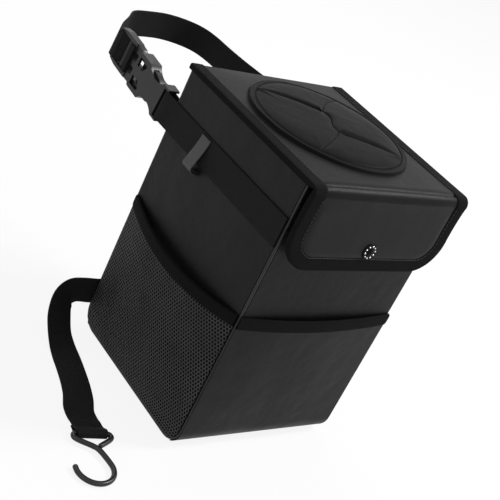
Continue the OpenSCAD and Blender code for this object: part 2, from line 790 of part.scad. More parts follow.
// The stud reaches to a small gap from the leaning socket
snap_z = lid_top - (flap_drop - snap_up) * cos(flap_tilt);
socket_face = -lid_y - (tape_t + flap_t + socket_t) * cos(flap_tilt)
    + (flap_drop - snap_up) * sin(flap_tilt);
stud_l = socket_face - body_d / 2 - 0.3 - (snap_d / 2 - 1) * sin(flap_tilt);
module snap_stud() {
    color(plastic_color) translate([0, -body_d / 2, snap_z]) rotate([90, 0, 0]) {
        cylinder(d = snap_d - 2, h = 1.2);
        cylinder(d = snap_d / 2 + 1, h = stud_l);
    }
}

module right() {
    mirror([1, 0, 0]) children();
}

wrap_panel();
side_panel();  // left_side_panel
right() side_panel();  // right_side_panel
piping();  // left_piping
right() piping();  // right_piping
end_board();  // front_board
mirror([0, 1, 0]) end_board();  // back_board
side_board();  // left_board
right() side_board();  // right_board
bottom_board();
liner();
rim_binding();
hinge_tape();
front_pocket();
front_pocket_hem();
pocket_net();  // left_mesh_pocket
mesh_hem();  // left_pocket_hem
right() pocket_net();  // right_mesh_pocket
right() mesh_hem();  // right_pocket_hem
left_strap();
side_loop();  // left_loop
right() side_loop();  // right_loop
buckle_receiver();
buckle_plug();
long_strap();
lower_strap();
hook();
snap_stud();
lid_panel();
lid_binding();  // left_lid_binding
right() lid_binding();  // right_lid_binding
petal_surround();
petal_ring();
petal_left();
petal_back();
petal_right();
petal_front();
flap_panel();
flap_binding();
snap_cap();
snap_socket();
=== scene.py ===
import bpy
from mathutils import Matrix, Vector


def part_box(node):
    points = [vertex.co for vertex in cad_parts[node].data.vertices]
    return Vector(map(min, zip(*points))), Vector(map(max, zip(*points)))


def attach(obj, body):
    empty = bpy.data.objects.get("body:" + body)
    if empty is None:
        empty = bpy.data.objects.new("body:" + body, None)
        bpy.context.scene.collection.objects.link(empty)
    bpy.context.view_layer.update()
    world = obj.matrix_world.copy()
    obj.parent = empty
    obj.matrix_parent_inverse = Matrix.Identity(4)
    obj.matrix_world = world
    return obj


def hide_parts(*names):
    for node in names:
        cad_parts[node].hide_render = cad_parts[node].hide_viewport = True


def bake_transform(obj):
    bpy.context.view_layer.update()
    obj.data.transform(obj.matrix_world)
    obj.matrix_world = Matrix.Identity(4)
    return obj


bl_info = {
    "name": "Car Litter Bin",
    "version": (1, 0, 0),
    "blender": (4, 5, 0),
    "location": "View3D > Sidebar > Litter Bin",
    "description": "Builds a leatherette litter bin with a petal lid, pockets and straps",
    "category": "Add Mesh",
}

import bmesh
import bpy
import numpy as np
from mathutils import Matrix

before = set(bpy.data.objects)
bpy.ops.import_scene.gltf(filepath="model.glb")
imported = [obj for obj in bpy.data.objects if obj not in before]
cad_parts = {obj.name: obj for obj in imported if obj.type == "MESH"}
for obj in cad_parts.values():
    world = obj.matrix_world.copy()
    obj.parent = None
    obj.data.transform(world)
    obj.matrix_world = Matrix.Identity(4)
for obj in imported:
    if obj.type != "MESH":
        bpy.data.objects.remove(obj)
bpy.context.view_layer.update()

MM = 0.001


def cad_height(node, end):
    """Height of a CAD node's foot (end 0) or top (end 1), in millimetres."""
    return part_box(node)[end][2] / MM


# Sizes that part.scad also names and heights of its nodes, in millimetres
HALF_W, HALF_D = 80.0, 80.0
BODY_TOP = cad_height("wrap_panel", 1)
CORNER_R = 18.0
PIPING = 2.4
POCKET_FOOT, POCKET_TOP, HEM_W, NET_TOP = 3.0, 131.0, 11.0, 120.0
WEB_W, WEB_T, BAND_Z = 25.0, 1.4, 203.5
LID_HALF, LID_FRONT = 83.0, -88.5
LID_TOP, LID_UNDER = cad_height("left_lid_binding", 1), cad_height("lid_panel", 0)
FLAP_DROP, FLAP_R, FLAP_THICK = 68.0, 28.0, 4.6
TILT = np.radians(3.5)
HINGE_Z, MOUTH = 252.8, 43.0
RING_R, RING_TOP = 64.5, cad_height("petal_ring", 1)

# Sizes of the soft pieces alone, in millimetres
SKIN_T = 1.2         # leatherette
SKIN_HALF = 80.0     # half the lid's and flap's skin, which ends under the bindings
TAPE_DIP = 0.5       # how far that skin dips under them
WEB_EDGE = 0.5       # radius of the webbing's edges


# ---------------------------------------------------------------- sizes and colours


def length(name, description, default):
    return bpy.props.FloatProperty(
        name=name, description=description, default=default * MM, unit="LENGTH", precision=5
    )


def colour(name, description, default):
    return bpy.props.FloatVectorProperty(
        name=name, description=description, default=default, size=4, subtype="COLOR",
        min=0.0, max=1.0,
    )


class BinSizes(bpy.types.PropertyGroup):
    """Sizes of the soft pieces that the CAD model leaves plain."""

    panel_crown: length("Panel crown", "How far a wall panel swells", 0.9)
    lid_crown: length("Lid crown", "How far the lid's skin swells between its bindings", 0.5)
    tape_width: length("Binding width", "Width of the binding that shows on a face", 12.5)
    net_pitch: length("Net pitch", "Distance between the gaps of the net", 3.0)
    petal_rise: length("Petal rise", "How far the petals dome above their hinge", 3.9)
    slit_depth: length("Slit depth", "Depth of the open seams between petals", 3.6)
    thread: length("Thread", "Thickness of the sewing thread", 0.5)


class BinColours(bpy.types.PropertyGroup):
    """Colours of the bin's cloths, plastics and metals."""

    skin: colour("Leatherette", "Colour of the walls", (0.0040, 0.0040, 0.0044, 1))
    lid: colour("Lid leatherette", "Colour of the lid and flap", (0.0100, 0.0100, 0.0107, 1))
    tape: colour("Binding", "Colour of the binding tape", (0.0064, 0.0062, 0.0064, 1))
    web: colour("Webbing", "Colour of the straps", (0.0155, 0.0155, 0.016, 1))
    net: colour("Net", "Colour of the mesh pockets", (0.024, 0.024, 0.025, 1))
    plastic: colour("Buckle", "Colour of the buckle", (0.011, 0.011, 0.0115, 1))
    wire: colour("Hook", "Colour of the hook's coating", (0.014, 0.014, 0.0145, 1))
    ribbon: colour("Loop", "Colour of the side loops", (0.035, 0.035, 0.037, 1))
    snap: colour("Snap", "Colour of the snap's lacquer", (0.003, 0.003, 0.003, 1))
    bead: colour("Snap beads", "Colour of the snap's bright beads", (0.62, 0.62, 0.64, 1))
    board: colour("Board", "Colour of the stiffeners", (0.18, 0.16, 0.13, 1))
    lining: colour("Lining", "Colour of the liner", (0.06, 0.06, 0.065, 1))
    floor: colour("Floor", "Colour of the floor", (0.86, 0.86, 0.86, 1))


# ---------------------------------------------------------------- shader sums


class Socket:
    """One output of a material's nodes, which can be used in sums."""

    def __init__(self, recipe, out):
        self.recipe, self.out = recipe, out

    def maths(self, operation, *values):
        return self.recipe.node("ShaderNodeMath", {"operation": operation}, values)

    def __add__(self, other):
        return self.maths("ADD", self, other)

    def __sub__(self, other):
        return self.maths("SUBTRACT", self, other)

    def __rsub__(self, other):
        return self.maths("SUBTRACT", other, self)

    def __mul__(self, other):
        return self.maths("MULTIPLY", self, other)

    __radd__, __rmul__ = __add__, __mul__

    def wave(self):
        """Sine of the value, from 0 to 1."""
        return self.maths("SINE", self) * 0.5 + 0.5

    def most(self, other):
        """The larger of two values."""
        return self.maths("MAXIMUM", self, other)


class Recipe:
    """A new material or world whose nodes are written as sums of sockets."""

    def __init__(self, owner):
        self.owner = owner
        owner.use_nodes = True
        self.tree = owner.node_tree

    def node(self, kind, settings=None, values=(), out=0):
        """Adds a node: first its settings, then the values or links of its sockets."""
        made = self.tree.nodes.new(kind)
        for key, value in (settings or {}).items():
            setattr(made, key, value)
        pairs = values.items() if isinstance(values, dict) else enumerate(values)
        for key, value in pairs:
            self.put(made.inputs[key], value)
        return Socket(self, made.outputs[out])

    def put(self, socket, value):
        if isinstance(value, Socket):
            self.tree.links.new(value.out, socket)
        else:
            socket.default_value = value

    def place(self, kind="Object"):
        return self.node("ShaderNodeTexCoord", out=kind)

    def noise(self, scale, detail=3.0, rough=0.55):
        return self.node("ShaderNodeTexNoise", None, {
            "Vector": self.place(), "Scale": scale, "Detail": detail, "Roughness": rough})

    def parts(self, where):
        split = self.node("ShaderNodeSeparateXYZ", None, [where])
        return [Socket(self, o) for o in split.out.node.outputs]

    def shades(self, factor, base, dark, light):
        """Runs between two tints of a colour by a factor."""
        return self.node("ShaderNodeMix", {"data_type": "RGBA"}, {
            0: factor, 6: tinted(base, dark), 7: tinted(base, light)}, out=2)

    def bump(self, height, strength, distance, under=None):
        values = {"Height": height, "Strength": strength, "Distance": distance}
        if under:
            values["Normal"] = under
        return self.node("ShaderNodeBump", None, values)

    def finish(self, **sockets):
        shader = self.tree.nodes["Principled BSDF"]
        for name, value in sockets.items():
            self.put(shader.inputs[name.replace("_", " ")], value)

    def backdrop(self, plain, white, share=1.0):
        """Shows white in place of the plain surface to the rays that see the stage: from
        the camera, off gloss and through glass. The plain one lights the object."""
        rays = self.node("ShaderNodeLightPath").out.node.outputs
        camera, glossy, through = (Socket(self, rays["Is %s Ray" % kind])
                                   for kind in ("Camera", "Glossy", "Transmission"))
        seen = camera.most(glossy).most(through) * share
        mixed = self.node("ShaderNodeMixShader", None, {0: seen, 1: plain, 2: white})
        end = next(n for n in self.tree.nodes if n.type.startswith("OUTPUT"))
        self.put(end.inputs["Surface"], mixed)


def tinted(base, factor):
    """A darker or lighter shade of a colour."""
    return tuple(min(1.0, c * factor) for c in base[:3]) + (1.0,)


def leatherette(name, base, grain=0.24, wrinkle=0.35, shine=0.34, gloss=0.1):
    """Pebbled grain over soft wrinkles, worn a little lighter in patches. Shine is the
    roughness, and gloss is how much the surface mirrors."""
    r = Recipe(bpy.data.materials.new(name))
    warp = r.noise(60.0, 2.0)
    cells = r.node("ShaderNodeTexVoronoi", {"feature": "SMOOTH_F1"},
                   {"Vector": r.place(), "Scale": 950.0, "Smoothness": 0.55})
    pebble = cells * 1.3 + r.noise(2400.0, 2.0) * 0.35
    folds = r.noise(16.0, 3.0, 0.5) * 0.8 + warp * 0.2
    patch = r.noise(22.0, 4.0, 0.6)
    r.finish(
        Base_Color=r.shades(patch * 1.4 - 0.2, base, 0.86, 1.16),
        Roughness=patch * 0.12 + (shine - 0.04) + pebble * 0.05,
        Normal=r.bump(pebble, grain, 0.00035, r.bump(folds, wrinkle, 0.0035)),
        Specular_IOR_Level=gloss,
    )


def woven(name, base, ribs, shine, bars=False, gloss=0.035):
    """Weave that follows the piece's own map, u along it and v across, in centimetres:
    the product of two slanting waves, or bars across a tape. Ribs is their pitch in
    millimetres."""
    r = Recipe(bpy.data.materials.new(name))
    u, v, _ = r.parts(r.place("UV"))
    along, across = u * (2 * np.pi * 10 / ribs), v * (2 * np.pi * 10 / (ribs * 0.9))
    if bars:
        cloth = along.wave() * 0.75 + across.wave() * 0.25
    else:
        cloth = (along + across).wave() * (along - across).wave()
    fuzz = r.noise(900.0, 2.0)
    height = cloth + fuzz * 0.4
    r.finish(
        Base_Color=r.shades(height * 0.6 + 0.1, base, 0.6, 1.45),
        Roughness=shine + fuzz * 0.12 - 0.06,
        Normal=r.bump(height, 0.6, 0.0004, r.bump(r.noise(30.0, 2.0), 0.2, 0.002)),
        Specular_IOR_Level=gloss,
    )


def knit(name, base):
    """Fine loops of yarn on the net's strands, in darker and lighter patches."""
    r = Recipe(bpy.data.materials.new(name))
    loops = r.noise(1500.0, 2.0)
    patch = r.noise(28.0, 3.0)
    r.finish(
        Base_Color=r.shades(loops * 0.5 + patch * 1.6 - 0.6, base, 0.5, 1.9),
        Roughness=0.62 + loops * 0.15,
        Normal=r.bump(loops, 0.5, 0.0003),
        Specular_IOR_Level=0.33,
    )


def moulded(name, base, shine, metal=0.0, texture=0.1, gloss=0.5):
    """Moulded or dipped surface: fine orange peel and faint rubbed patches."""
    r = Recipe(bpy.data.materials.new(name))
    peel = r.noise(700.0, 2.0)
    rub = r.noise(55.0, 4.0, 0.6)
    r.finish(
        Base_Color=r.shades(rub * 1.3 - 0.15, base, 0.85, 1.18),
        Roughness=shine + rub * 0.14 - 0.05,
        Metallic=metal,
        Normal=r.bump(peel, texture, 0.0004),
        Specular_IOR_Level=gloss,
    )


def make_materials(c):
    """Makes every finish of the bin. The pieces ask for them by these names."""
    leatherette("wall leatherette", c.skin, 0.28, 0.75, 0.42, gloss=0.15)
    leatherette("lid leatherette", c.lid, gloss=0.053)
    leatherette("flap leatherette", c.lid, gloss=0.1)
    # The piping's colour is three times the wall's: a painted highlight along the seams
    leatherette("piping painted highlight", tinted(c.skin, 3), 0.2, 0.2, 0.3, gloss=0.3)
    leatherette("petal leatherette", c.lid, 0.24, 0.6, 0.38, gloss=0.02)
    woven("binding tape", c.tape, 0.7, 0.7, bars=True)
    woven("strap webbing", c.web, 1.5, 0.66, gloss=0.05)
    knit("net yarn", c.net)
    moulded("buckle plastic", c.plastic, 0.34, gloss=0.27)
    moulded("hook coating", c.wire, 0.3, metal=0.35, texture=0.06)
    woven("loop ribbon", c.ribbon, 0.5, 0.34, bars=True, gloss=0.4)
    moulded("snap lacquer", c.snap, 0.3, texture=0.05, gloss=0.05)
    moulded("snap beads", c.bead, 0.16, metal=1.0, texture=0.02)
    moulded("stiffener board", c.board, 0.7, texture=0.4)
    woven("liner cloth", c.lining, 0.8, 0.6)
    moulded("sewing thread", tinted(c.web, 1.6), 0.6, texture=0.3)


def put_in_scene(name, data):
    """New object for a mesh, lamp or camera."""
    made = bpy.data.objects.new(name, data)
    bpy.context.scene.collection.objects.link(made)
    return made


def fitted(made, body, node=None):
    """Puts a new piece on the body that it rides on, and hides the CAD node that it stands
    for.
    """
    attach(made, body)
    if node:
        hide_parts(node)


# ---------------------------------------------------------------- surfaces


def quads(n, m, close_u=False, close_v=False, start=0):
    """Faces of an n by m grid of points, which may close on itself either way."""
    i, j = np.meshgrid(np.arange(n if close_u else n - 1),
                       np.arange(m if close_v else m - 1), indexing="ij")
    a, b = (i + 1) % n, (j + 1) % m
    corners = np.stack([i * m + j, a * m + j, a * m + b, i * m + b], -1)
    return start + corners.reshape(-1, 4)


def outwards(points, faces):
    """Turns the faces when the solid they close has a negative volume.

    The volume is the sum over the faces of a sixth of the triple products of their
    corners, each four-sided face taken as two triangles."""
    volume = 0.0
    for f in faces:
        f = np.asarray(f)
        for k in range(1, f.shape[1] - 1):
            a, b, c = points[f[:, 0]], points[f[:, k]], points[f[:, k + 1]]
            volume += np.einsum("ij,ij->i", a, np.cross(b, c)).sum()
    return [np.asarray(f)[:, ::-1] for f in faces] if volume < 0 else faces


def piece(name, points, faces, material, uv=None, turn=True, sharp=38):
    """Puts points in millimetres and lists of faces into a mesh object at the origin."""
    points = np.asarray(points, dtype=float)
    faces = [np.asarray(f) for f in faces if len(f)]
    if turn:
        faces = outwards(points - points.mean(0), faces)
    mesh = bpy.data.meshes.new(name)
    corners = np.concatenate([f.ravel() for f in faces])
    counts = np.concatenate([np.full(len(f), f.shape[1]) for f in faces])
    mesh.vertices.add(len(points))
    mesh.vertices.foreach_set("co", (points * MM).ravel())
    mesh.loops.add(len(corners))
    mesh.loops.foreach_set("vertex_index", corners.astype(np.int32))
    mesh.polygons.add(len(counts))
    starts = np.concatenate([[0], np.cumsum(counts)[:-1]])
    mesh.polygons.foreach_set("loop_start", starts.astype(np.int32))
    mesh.polygons.foreach_set("loop_total", counts.astype(np.int32))
    mesh.update(calc_edges=True)
    mesh.validate()
    if uv is not None:
        layer = mesh.uv_layers.new(name="UVMap")
        layer.data.foreach_set("uv", np.asarray(uv, dtype=float)[corners].ravel())
    mesh.shade_smooth()
    mesh.set_sharp_from_angle(angle=np.radians(sharp))
    mesh.materials.append(bpy.data.materials[material])
    return put_in_scene(name, mesh)


def slab(name, outer, inner, material, uv=None, close_u=False, sharp=38):
    """Closed sheet between two grids of points, joined along their open edges."""
    n, m = outer.shape[:2]
    top = quads(n, m, close_u)
    under = quads(n, m, close_u, start=n * m)[:, ::-1]
    rims = []
    ring = np.arange(n if close_u else n - 1)
    for j, flip in ((0, False), (m - 1, True)):
        a, b = ring * m + j, (ring + 1) % n * m + j
        rim = np.stack([a, a + n * m, b + n * m, b], -1)
        rims.append(rim[:, ::-1] if flip else rim)
    if not close_u:
        line = np.arange(m - 1)
        for i, flip in ((0, True), (n - 1, False)):
            a, b = i * m + line, i * m + line + 1
            rim = np.stack([a, a + n * m, b + n * m, b], -1)
            rims.append(rim[:, ::-1] if flip else rim)
    points = np.concatenate([outer.reshape(-1, 3), inner.reshape(-1, 3)])
    if uv is not None:
        uv = np.concatenate([uv.reshape(-1, 2)] * 2)
    return piece(name, points, [top, under] + rims, material, uv, sharp=sharp)


def full_turn(count):
    """Angles that share out a full turn, the last one short of it."""
    return np.linspace(0, 2 * np.pi, count, endpoint=False)


def circle(a):
    """Points of the unit circle at angles a."""
    return np.stack([np.cos(a), np.sin(a)], -1)


def unit(v):
    """Vectors at length 1."""
    return v / np.maximum(np.linalg.norm(v, axis=-1, keepdims=True), 1e-9)


def tangents(path):
    """Direction of a path at each point, from its neighbours."""
    return unit(np.gradient(path, axis=0))


def spline(points, steps):
    """Curve through points: each stretch is a cubic whose slope at a point is half of the
    step between its neighbours."""
    p = np.asarray(points, dtype=float)
    ends = np.concatenate([p[:1], p, p[-1:]])
    a, b, c, d = (ends[k:len(p) - 1 + k, None] for k in range(4))
    t = (np.arange(steps) / steps)[None, :, None]
    curve = 0.5 * (2 * b + (c - a) * t + (2 * a - 5 * b + 4 * c - d) * t ** 2
                   + (3 * b - a - 3 * c + d) * t ** 3)
    return np.concatenate([curve.reshape(-1, p.shape[1]), p[-1:]])


def run_of(path):
    """Length along a path at each of its points."""
    return np.concatenate([[0], np.cumsum(np.linalg.norm(np.diff(path, axis=0), axis=1))])


def swept(name, path, side, up, section, material):
    """Closed bar: at each point of the path stands the section, x along side, y along up,
    and a fan closes each end."""
    n, m = len(path), section.shape[-2]
    ring = section if section.ndim == 3 else np.broadcast_to(section, (n, m, 2))
    grid = (path[:, None] + side[:, None] * ring[..., :1] + up[:, None] * ring[..., 1:])
    points = np.concatenate([grid.reshape(-1, 3), grid[0].mean(0)[None],
                             grid[-1].mean(0)[None]])
    j = np.arange(m)
    k = (j + 1) % m
    first = np.stack([np.full(m, n * m), k, j], -1)
    last = np.stack([np.full(m, n * m + 1), (n - 1) * m + j, (n - 1) * m + k], -1)
    run = np.repeat(run_of(path)[:, None], m, 1)
    uv = np.stack([run, np.broadcast_to(ring[..., 0], (n, m))], -1).reshape(-1, 2) / 10
    uv = np.concatenate([uv, uv[:1], uv[-1:]])
    walls = quads(n, m, False, True)
    return piece(name, points, [walls, first[:, ::-1], last[:, ::-1]], material, uv)


def ribbon_section(width, thick):
    """Flat section with round edges: a quarter circle at each corner."""
    a = np.linspace(0, np.pi / 2, 5)
    edge = min(WEB_EDGE, thick / 2 - 0.01)
    q = circle(a) * edge
    x, y = width / 2 - edge, thick / 2 - edge
    corners = []
    for k, (sx, sy) in enumerate(((1, 1), (-1, 1), (-1, -1), (1, -1))):
        c = q if k % 2 == 0 else q[::-1]
        corners.append(c * [sx, sy] + [sx * x, sy * y])
    flat = np.linspace(-x, x, 9)[1:-1, None]
    top = np.concatenate([flat[::-1], np.full_like(flat, thick / 2)], 1)
    low = np.concatenate([flat, np.full_like(flat, -thick / 2)], 1)
    return np.concatenate([corners[0], top, corners[1], corners[2], low, corners[3]])


def ribbon(name, route, width, thick, material, steps=8):
    """Webbing along a route of x, y, z and of the direction across it. The curve is the
    spline of the route, and the direction is squared to the curve. Returns the piece and
    its length."""
    p = spline(route, steps)
    path = p[:, :3]
    keep = np.concatenate([[True], np.linalg.norm(np.diff(path, axis=0), axis=1) > 1e-4])
    path, side = path[keep], p[keep, 3:]
    t = tangents(path)
    side = unit(side - (side * t).sum(1)[:, None] * t)
    section = ribbon_section(width, thick)
    made = swept(name, path, side, np.cross(t, side), section, material)
    return made, run_of(path)[-1]


def tube(name, path, radius, normal, material):
    """Round wire along a flat path, with a half ball of four rings on each end."""
    last = len(path) - 1
    rows = np.concatenate([[0] * 4, np.arange(last + 1), [last] * 4])
    a = np.radians([80, 60, 35, 12])
    r = np.concatenate([np.cos(a), np.ones(last + 1), np.cos(a[::-1])]) * radius
    run = np.concatenate([-np.sin(a), np.zeros(last + 1), np.sin(a[::-1])]) * radius
    t = tangents(path)[rows]
    side = unit(np.cross(t, normal))
    section = circle(full_turn(18))[None] * r[:, None, None]
    return swept(name, path[rows] + t * run[:, None], side, np.cross(t, side), section,
                 material)


def raised(x, line, out, lift):
    """Grid of points: x runs across, and the side view y, z is raised along its normals
    by the lift."""
    grid = np.zeros(lift.shape + (3,))
    grid[..., 0] = x
    grid[..., 1:] = line[:, None] + out[:, None] * lift[..., None]
    return grid


def ripple(x, y, seed):
    """Soft waviness of cloth: a sum of five long sine waves in different directions,
    from -1 to 1."""
    rng = np.random.default_rng(seed)
    total = np.zeros(np.broadcast(x, y).shape)
    for _ in range(5):
        a, f, p = rng.uniform(0, np.pi), rng.uniform(0.03, 0.09), rng.uniform(0, 6.28)
        total += np.sin((x * np.cos(a) + y * np.sin(a)) * f + p) / 5
    return total


# ---------------------------------------------------------------- body


def cut_in(z):
    """How far the round lower edge lies in from the wall at height z."""
    low = np.clip(CORNER_R - z, 0, CORNER_R)
    return CORNER_R - np.sqrt(CORNER_R ** 2 - low ** 2)


def wall_outline(steps):
    """Side view of the wrap, down the front, under the foot and up the back: straight,
    a quarter circle, straight, a quarter circle and straight."""
    a = np.linspace(0, np.pi / 2, 9)
    z = np.linspace(BODY_TOP, CORNER_R + 1, steps)
    front = np.stack([np.full(steps, -HALF_D), z], -1)
    turn = np.stack([-HALF_D + CORNER_R * (1 - np.cos(a)), CORNER_R * (1 - np.sin(a))], -1)
    foot = np.stack([np.linspace(-HALF_D + CORNER_R, HALF_D - CORNER_R, 16)[1:-1],
                     np.zeros(14)], -1)
    back = (turn * [-1, 1])[::-1]
    return np.concatenate([front, turn, foot, back, (front * [-1, 1])[::-1]])


def body_wrap(s):
    """Wrap: the outline runs along u, x across, and each wall swells by a half wave up
    and a parabola across, plus a ripple. The foot stays flat."""
    outline = wall_outline(44)
    t = tangents(outline)
    out = np.stack([t[:, 1], -t[:, 0]], -1)
    x = np.linspace(PIPING - HALF_W, HALF_W - PIPING, 41)
    z = outline[:, 1]
    rise = np.where(z > CORNER_R, np.sin(np.pi * (z - CORNER_R) / (BODY_TOP - CORNER_R)), 0)
    swell = rise[:, None] * (1 - (x / x[-1])[None] ** 2) * s.panel_crown / MM
    swell = swell * (1 + 0.5 * ripple(*np.meshgrid(z, x, indexing="ij"), 4))
    return slab("body_skin", raised(x, outline, out, swell),
                raised(x, outline, out, swell - SKIN_T), "wall leatherette")


def side_skin(s, sign, name):
    """Side panel: width and height are the two ways of the grid, its lower corners follow
    the round edge, and it swells by a parabola across and a half wave up, plus a ripple."""
    u = np.linspace(0, 1, 41)[:, None]
    z = np.concatenate([PIPING + np.linspace(0, 1, 10) ** 1.7 * CORNER_R,
                        np.linspace(CORNER_R + 4, BODY_TOP, 40)])[None]
    y = (1 - 2 * u) * (HALF_D - PIPING - cut_in(z))
    v = (z - PIPING) / (BODY_TOP - PIPING)
    swell = 4 * u * (1 - u) * np.sin(np.pi * v) * s.panel_crown / MM
    swell = swell * (1 + 0.5 * ripple(y, z + 0 * y, 7))
    grid = np.stack([sign * (HALF_W + swell), y, z + 0 * y], -1)
    inner = grid.copy()
    inner[..., 0] -= sign * SKIN_T
    return slab(name, grid, inner, "wall leatherette")


class BIN_OT_body(bpy.types.Operator):
    """Build the leatherette walls"""

    bl_idname = "litter_bin.body"
    bl_label = "Body"

    def execute(self, context):
        s = context.scene.bin_sizes
        fitted(body_wrap(s), "bag", "wrap_panel")
        for side, sign in (("left", -1), ("right", 1)):
            fitted(side_skin(s, sign, side + "_skin"), "bag", side + "_side_panel")
        return {"FINISHED"}


# ---------------------------------------------------------------- pockets


def crown(u):
    """Parabola from 0 at both seams to 1 in the middle."""
    return 1 - (2 * u - 1) ** 2


# Share of a net's cell that is open, and the yarn's thickness
NET_HOLE, YARN_T = 0.66, 0.55

# By wall: how far the hem sags, how far the cloth bulges and where the bulge begins
POCKETS = {"front": (2.0, 4.5, 8.0), "left": (8.0, 9.0, 3.0), "right": (8.0, 9.0, 3.0)}


def pocket_top(u, wall):
    """Height where the cloth meets its hem: it sags as a parabola between the seams."""
    return NET_TOP - POCKETS[wall][0] * crown(u)


def pocket_bulge(u, z, wall):
    """A parabola across times a quarter of a sine wave upwards."""
    _, bulge, foot = POCKETS[wall]
    share = np.clip((z - foot) / (POCKET_TOP - foot), 0, 1)
    return bulge * crown(u) * np.sin(np.pi / 2 * share)


def on_wall(u, z, lift, wall):
    """Point of a pocket: u runs across its wall, z up, and lift stands off it."""
    u, z, lift = np.broadcast_arrays(u, z, lift)
    stand = pocket_bulge(u, z, wall) + lift
    if wall == "front":
        return np.stack([(2 * u - 1) * HALF_W, cut_in(z) - HALF_D - stand, z], -1)
    sign = -1 if wall == "left" else 1
    return np.stack([sign * (HALF_W + stand), (1 - 2 * u) * (HALF_D - PIPING - cut_in(z)),
                     z], -1)


def front_pocket():
    """Sheet of the pocket from the round lower edge to 3 mm under the hem, with soft
    pleats that gather at its lower corners and fade upwards."""
    u = np.linspace(0, 1, 65)[:, None]
    v = np.linspace(0, 1, 60)[None] ** 1.5
    z = POCKET_FOOT + v * (pocket_top(u, "front") + 3 - POCKET_FOOT)
    pleat = 0.5 * ripple((2 * u - 1) * 80, z, 11) * crown(u) * np.sin(np.pi * v)
    return slab("front_pocket_skin", on_wall(u, z, 0.2 + 1.0 + pleat, "front"),
                on_wall(u, z, 0.2 + pleat, "front"), "wall leatherette")


def pocket_hem(wall, name):
    """Folded tape over the pocket's top: its section is a flat with round edges and a
    shallow dip along the seam near its lower edge."""
    u = np.linspace(0, 1, 81)[:, None]
    w = np.linspace(0, 1, 15)[None]
    z = pocket_top(u, wall) + w * HEM_W
    body = (1 - np.abs(2 * w - 1) ** 7) ** 0.5
    dip = 0.35 * np.exp(-((w - 0.14) / 0.05) ** 2)
    uv = np.stack([u * 16 + 0 * w, w * HEM_W / 10 + 0 * u], -1)
    return slab(name, on_wall(u, z, 0.7 + 1.7 * body - dip, wall),
                on_wall(u, z, 0.2, wall), "binding tape", uv)


def net(wall, name, pitch):
    """Six-sided cells in rows set off by half a cell. Each cell is a ring of quads from
    its outline to a hole, and the pocket's curve gives each point its place. Quads that
    the pocket's edges flatten are left out, and a modifier makes the yarn's thickness."""
    wide, tall = 2 * (HALF_D - PIPING), NET_TOP - POCKET_FOOT
    columns = int(round(wide / pitch))
    pitch = wide / columns
    rise = pitch / np.sqrt(3) * 1.05
    rows = int(tall / (1.5 * rise)) + 2
    i, j = (a.ravel() for a in np.meshgrid(np.arange(-1, columns + 1), np.arange(rows),
                                            indexing="ij"))
    centre = np.stack([2 * i + (j % 2) + 1, 3 * j], -1)
    around = np.array([[0, 2], [-1, 1], [-1, -1], [0, -2], [1, -1], [1, 1]])
    outline = centre[:, None] + around
    corners, where = np.unique(outline.reshape(-1, 2), axis=0, return_inverse=True)
    hole = (centre[:, None] + around * NET_HOLE).reshape(-1, 2)
    flat = np.concatenate([corners, hole]) * [pitch / 2, rise / 2]
    u, v = flat[:, 0] / wide, flat[:, 1] / tall
    where = where.reshape(-1, 6)
    holes = len(corners) + np.arange(len(hole)).reshape(-1, 6)
    k = np.arange(6)
    m = (k + 1) % 6
    faces = np.stack([where[:, k], where[:, m], holes[:, m], holes[:, k]], -1).reshape(-1, 4)
    u, v = np.clip(u, 0, 1), np.clip(v, 0, 1)
    a, b = np.stack([u, v], -1)[faces].transpose(2, 0, 1)
    area = 0.5 * np.abs((a[:, 0] - a[:, 2]) * (b[:, 1] - b[:, 3])
                        - (a[:, 1] - a[:, 3]) * (b[:, 0] - b[:, 2]))
    faces = faces[area > 1e-8]
    z = POCKET_FOOT + v * (pocket_top(u, wall) + 2 - POCKET_FOOT)
    drape = 0.35 * ripple((1 - 2 * u) * 80, z, 21) * crown(u)
    points = on_wall(u, z, 0.6 + drape, wall)
    used, faces = np.unique(faces, return_inverse=True)
    points, faces = points[used], faces.reshape(-1, 4)
    p = points[faces[0]]
    facing = np.cross(p[1] - p[0], p[2] - p[0])[0]
    if facing * (-1 if wall == "left" else 1) < 0:
        faces = faces[:, ::-1]
    made = piece(name, points, [faces], "net yarn", turn=False, sharp=80)
    thick = made.modifiers.new("yarn", "SOLIDIFY")
    thick.thickness, thick.offset = YARN_T * MM, 0.0
    return made


class BIN_OT_pockets(bpy.types.Operator):
    """Build the front pocket, the two net pockets and their hems"""

    bl_idname = "litter_bin.pockets"
    bl_label = "Pockets"

    def execute(self, context):
        pitch = context.scene.bin_sizes.net_pitch / MM
        fitted(front_pocket(), "bag", "front_pocket")
        fitted(pocket_hem("front", "front_hem"), "bag", "front_pocket_hem")
        for side in ("left", "right"):
            fitted(net(side, side + "_net", pitch), "bag", side + "_mesh_pocket")
            fitted(pocket_hem(side, side + "_hem"), "bag", side + "_pocket_hem")
        return {"FINISHED"}


# ---------------------------------------------------------------- lid and flap


def flap_point(w, out=0.0):
    """Side view of the flap: w down its face from the crease, out along its normal."""
    y = LID_FRONT - w * np.sin(TILT) - out * np.cos(TILT)
    z = LID_TOP - w * np.cos(TILT) + out * np.sin(TILT)
    return np.stack([y, z], -1)


# Stitches: how far in from the binding's edge, their pitch and half their length
STITCH_IN, STITCH_PITCH, STITCH_HALF = 10.9, 3.4, 1.2

# The crease: where the lid's skin ends and the flap's begins, and the joint between them
CREASE_FROM, ROLL_END = -79.9, LID_TOP - 7.4


def crease_arc(radius, angles):
    """Arc of the flap's roll in side view, its angles counted up from the front."""
    a = np.radians(angles)
    return np.stack([-84.6 - radius * np.cos(a), 243.2 + radius * np.sin(a)], -1)


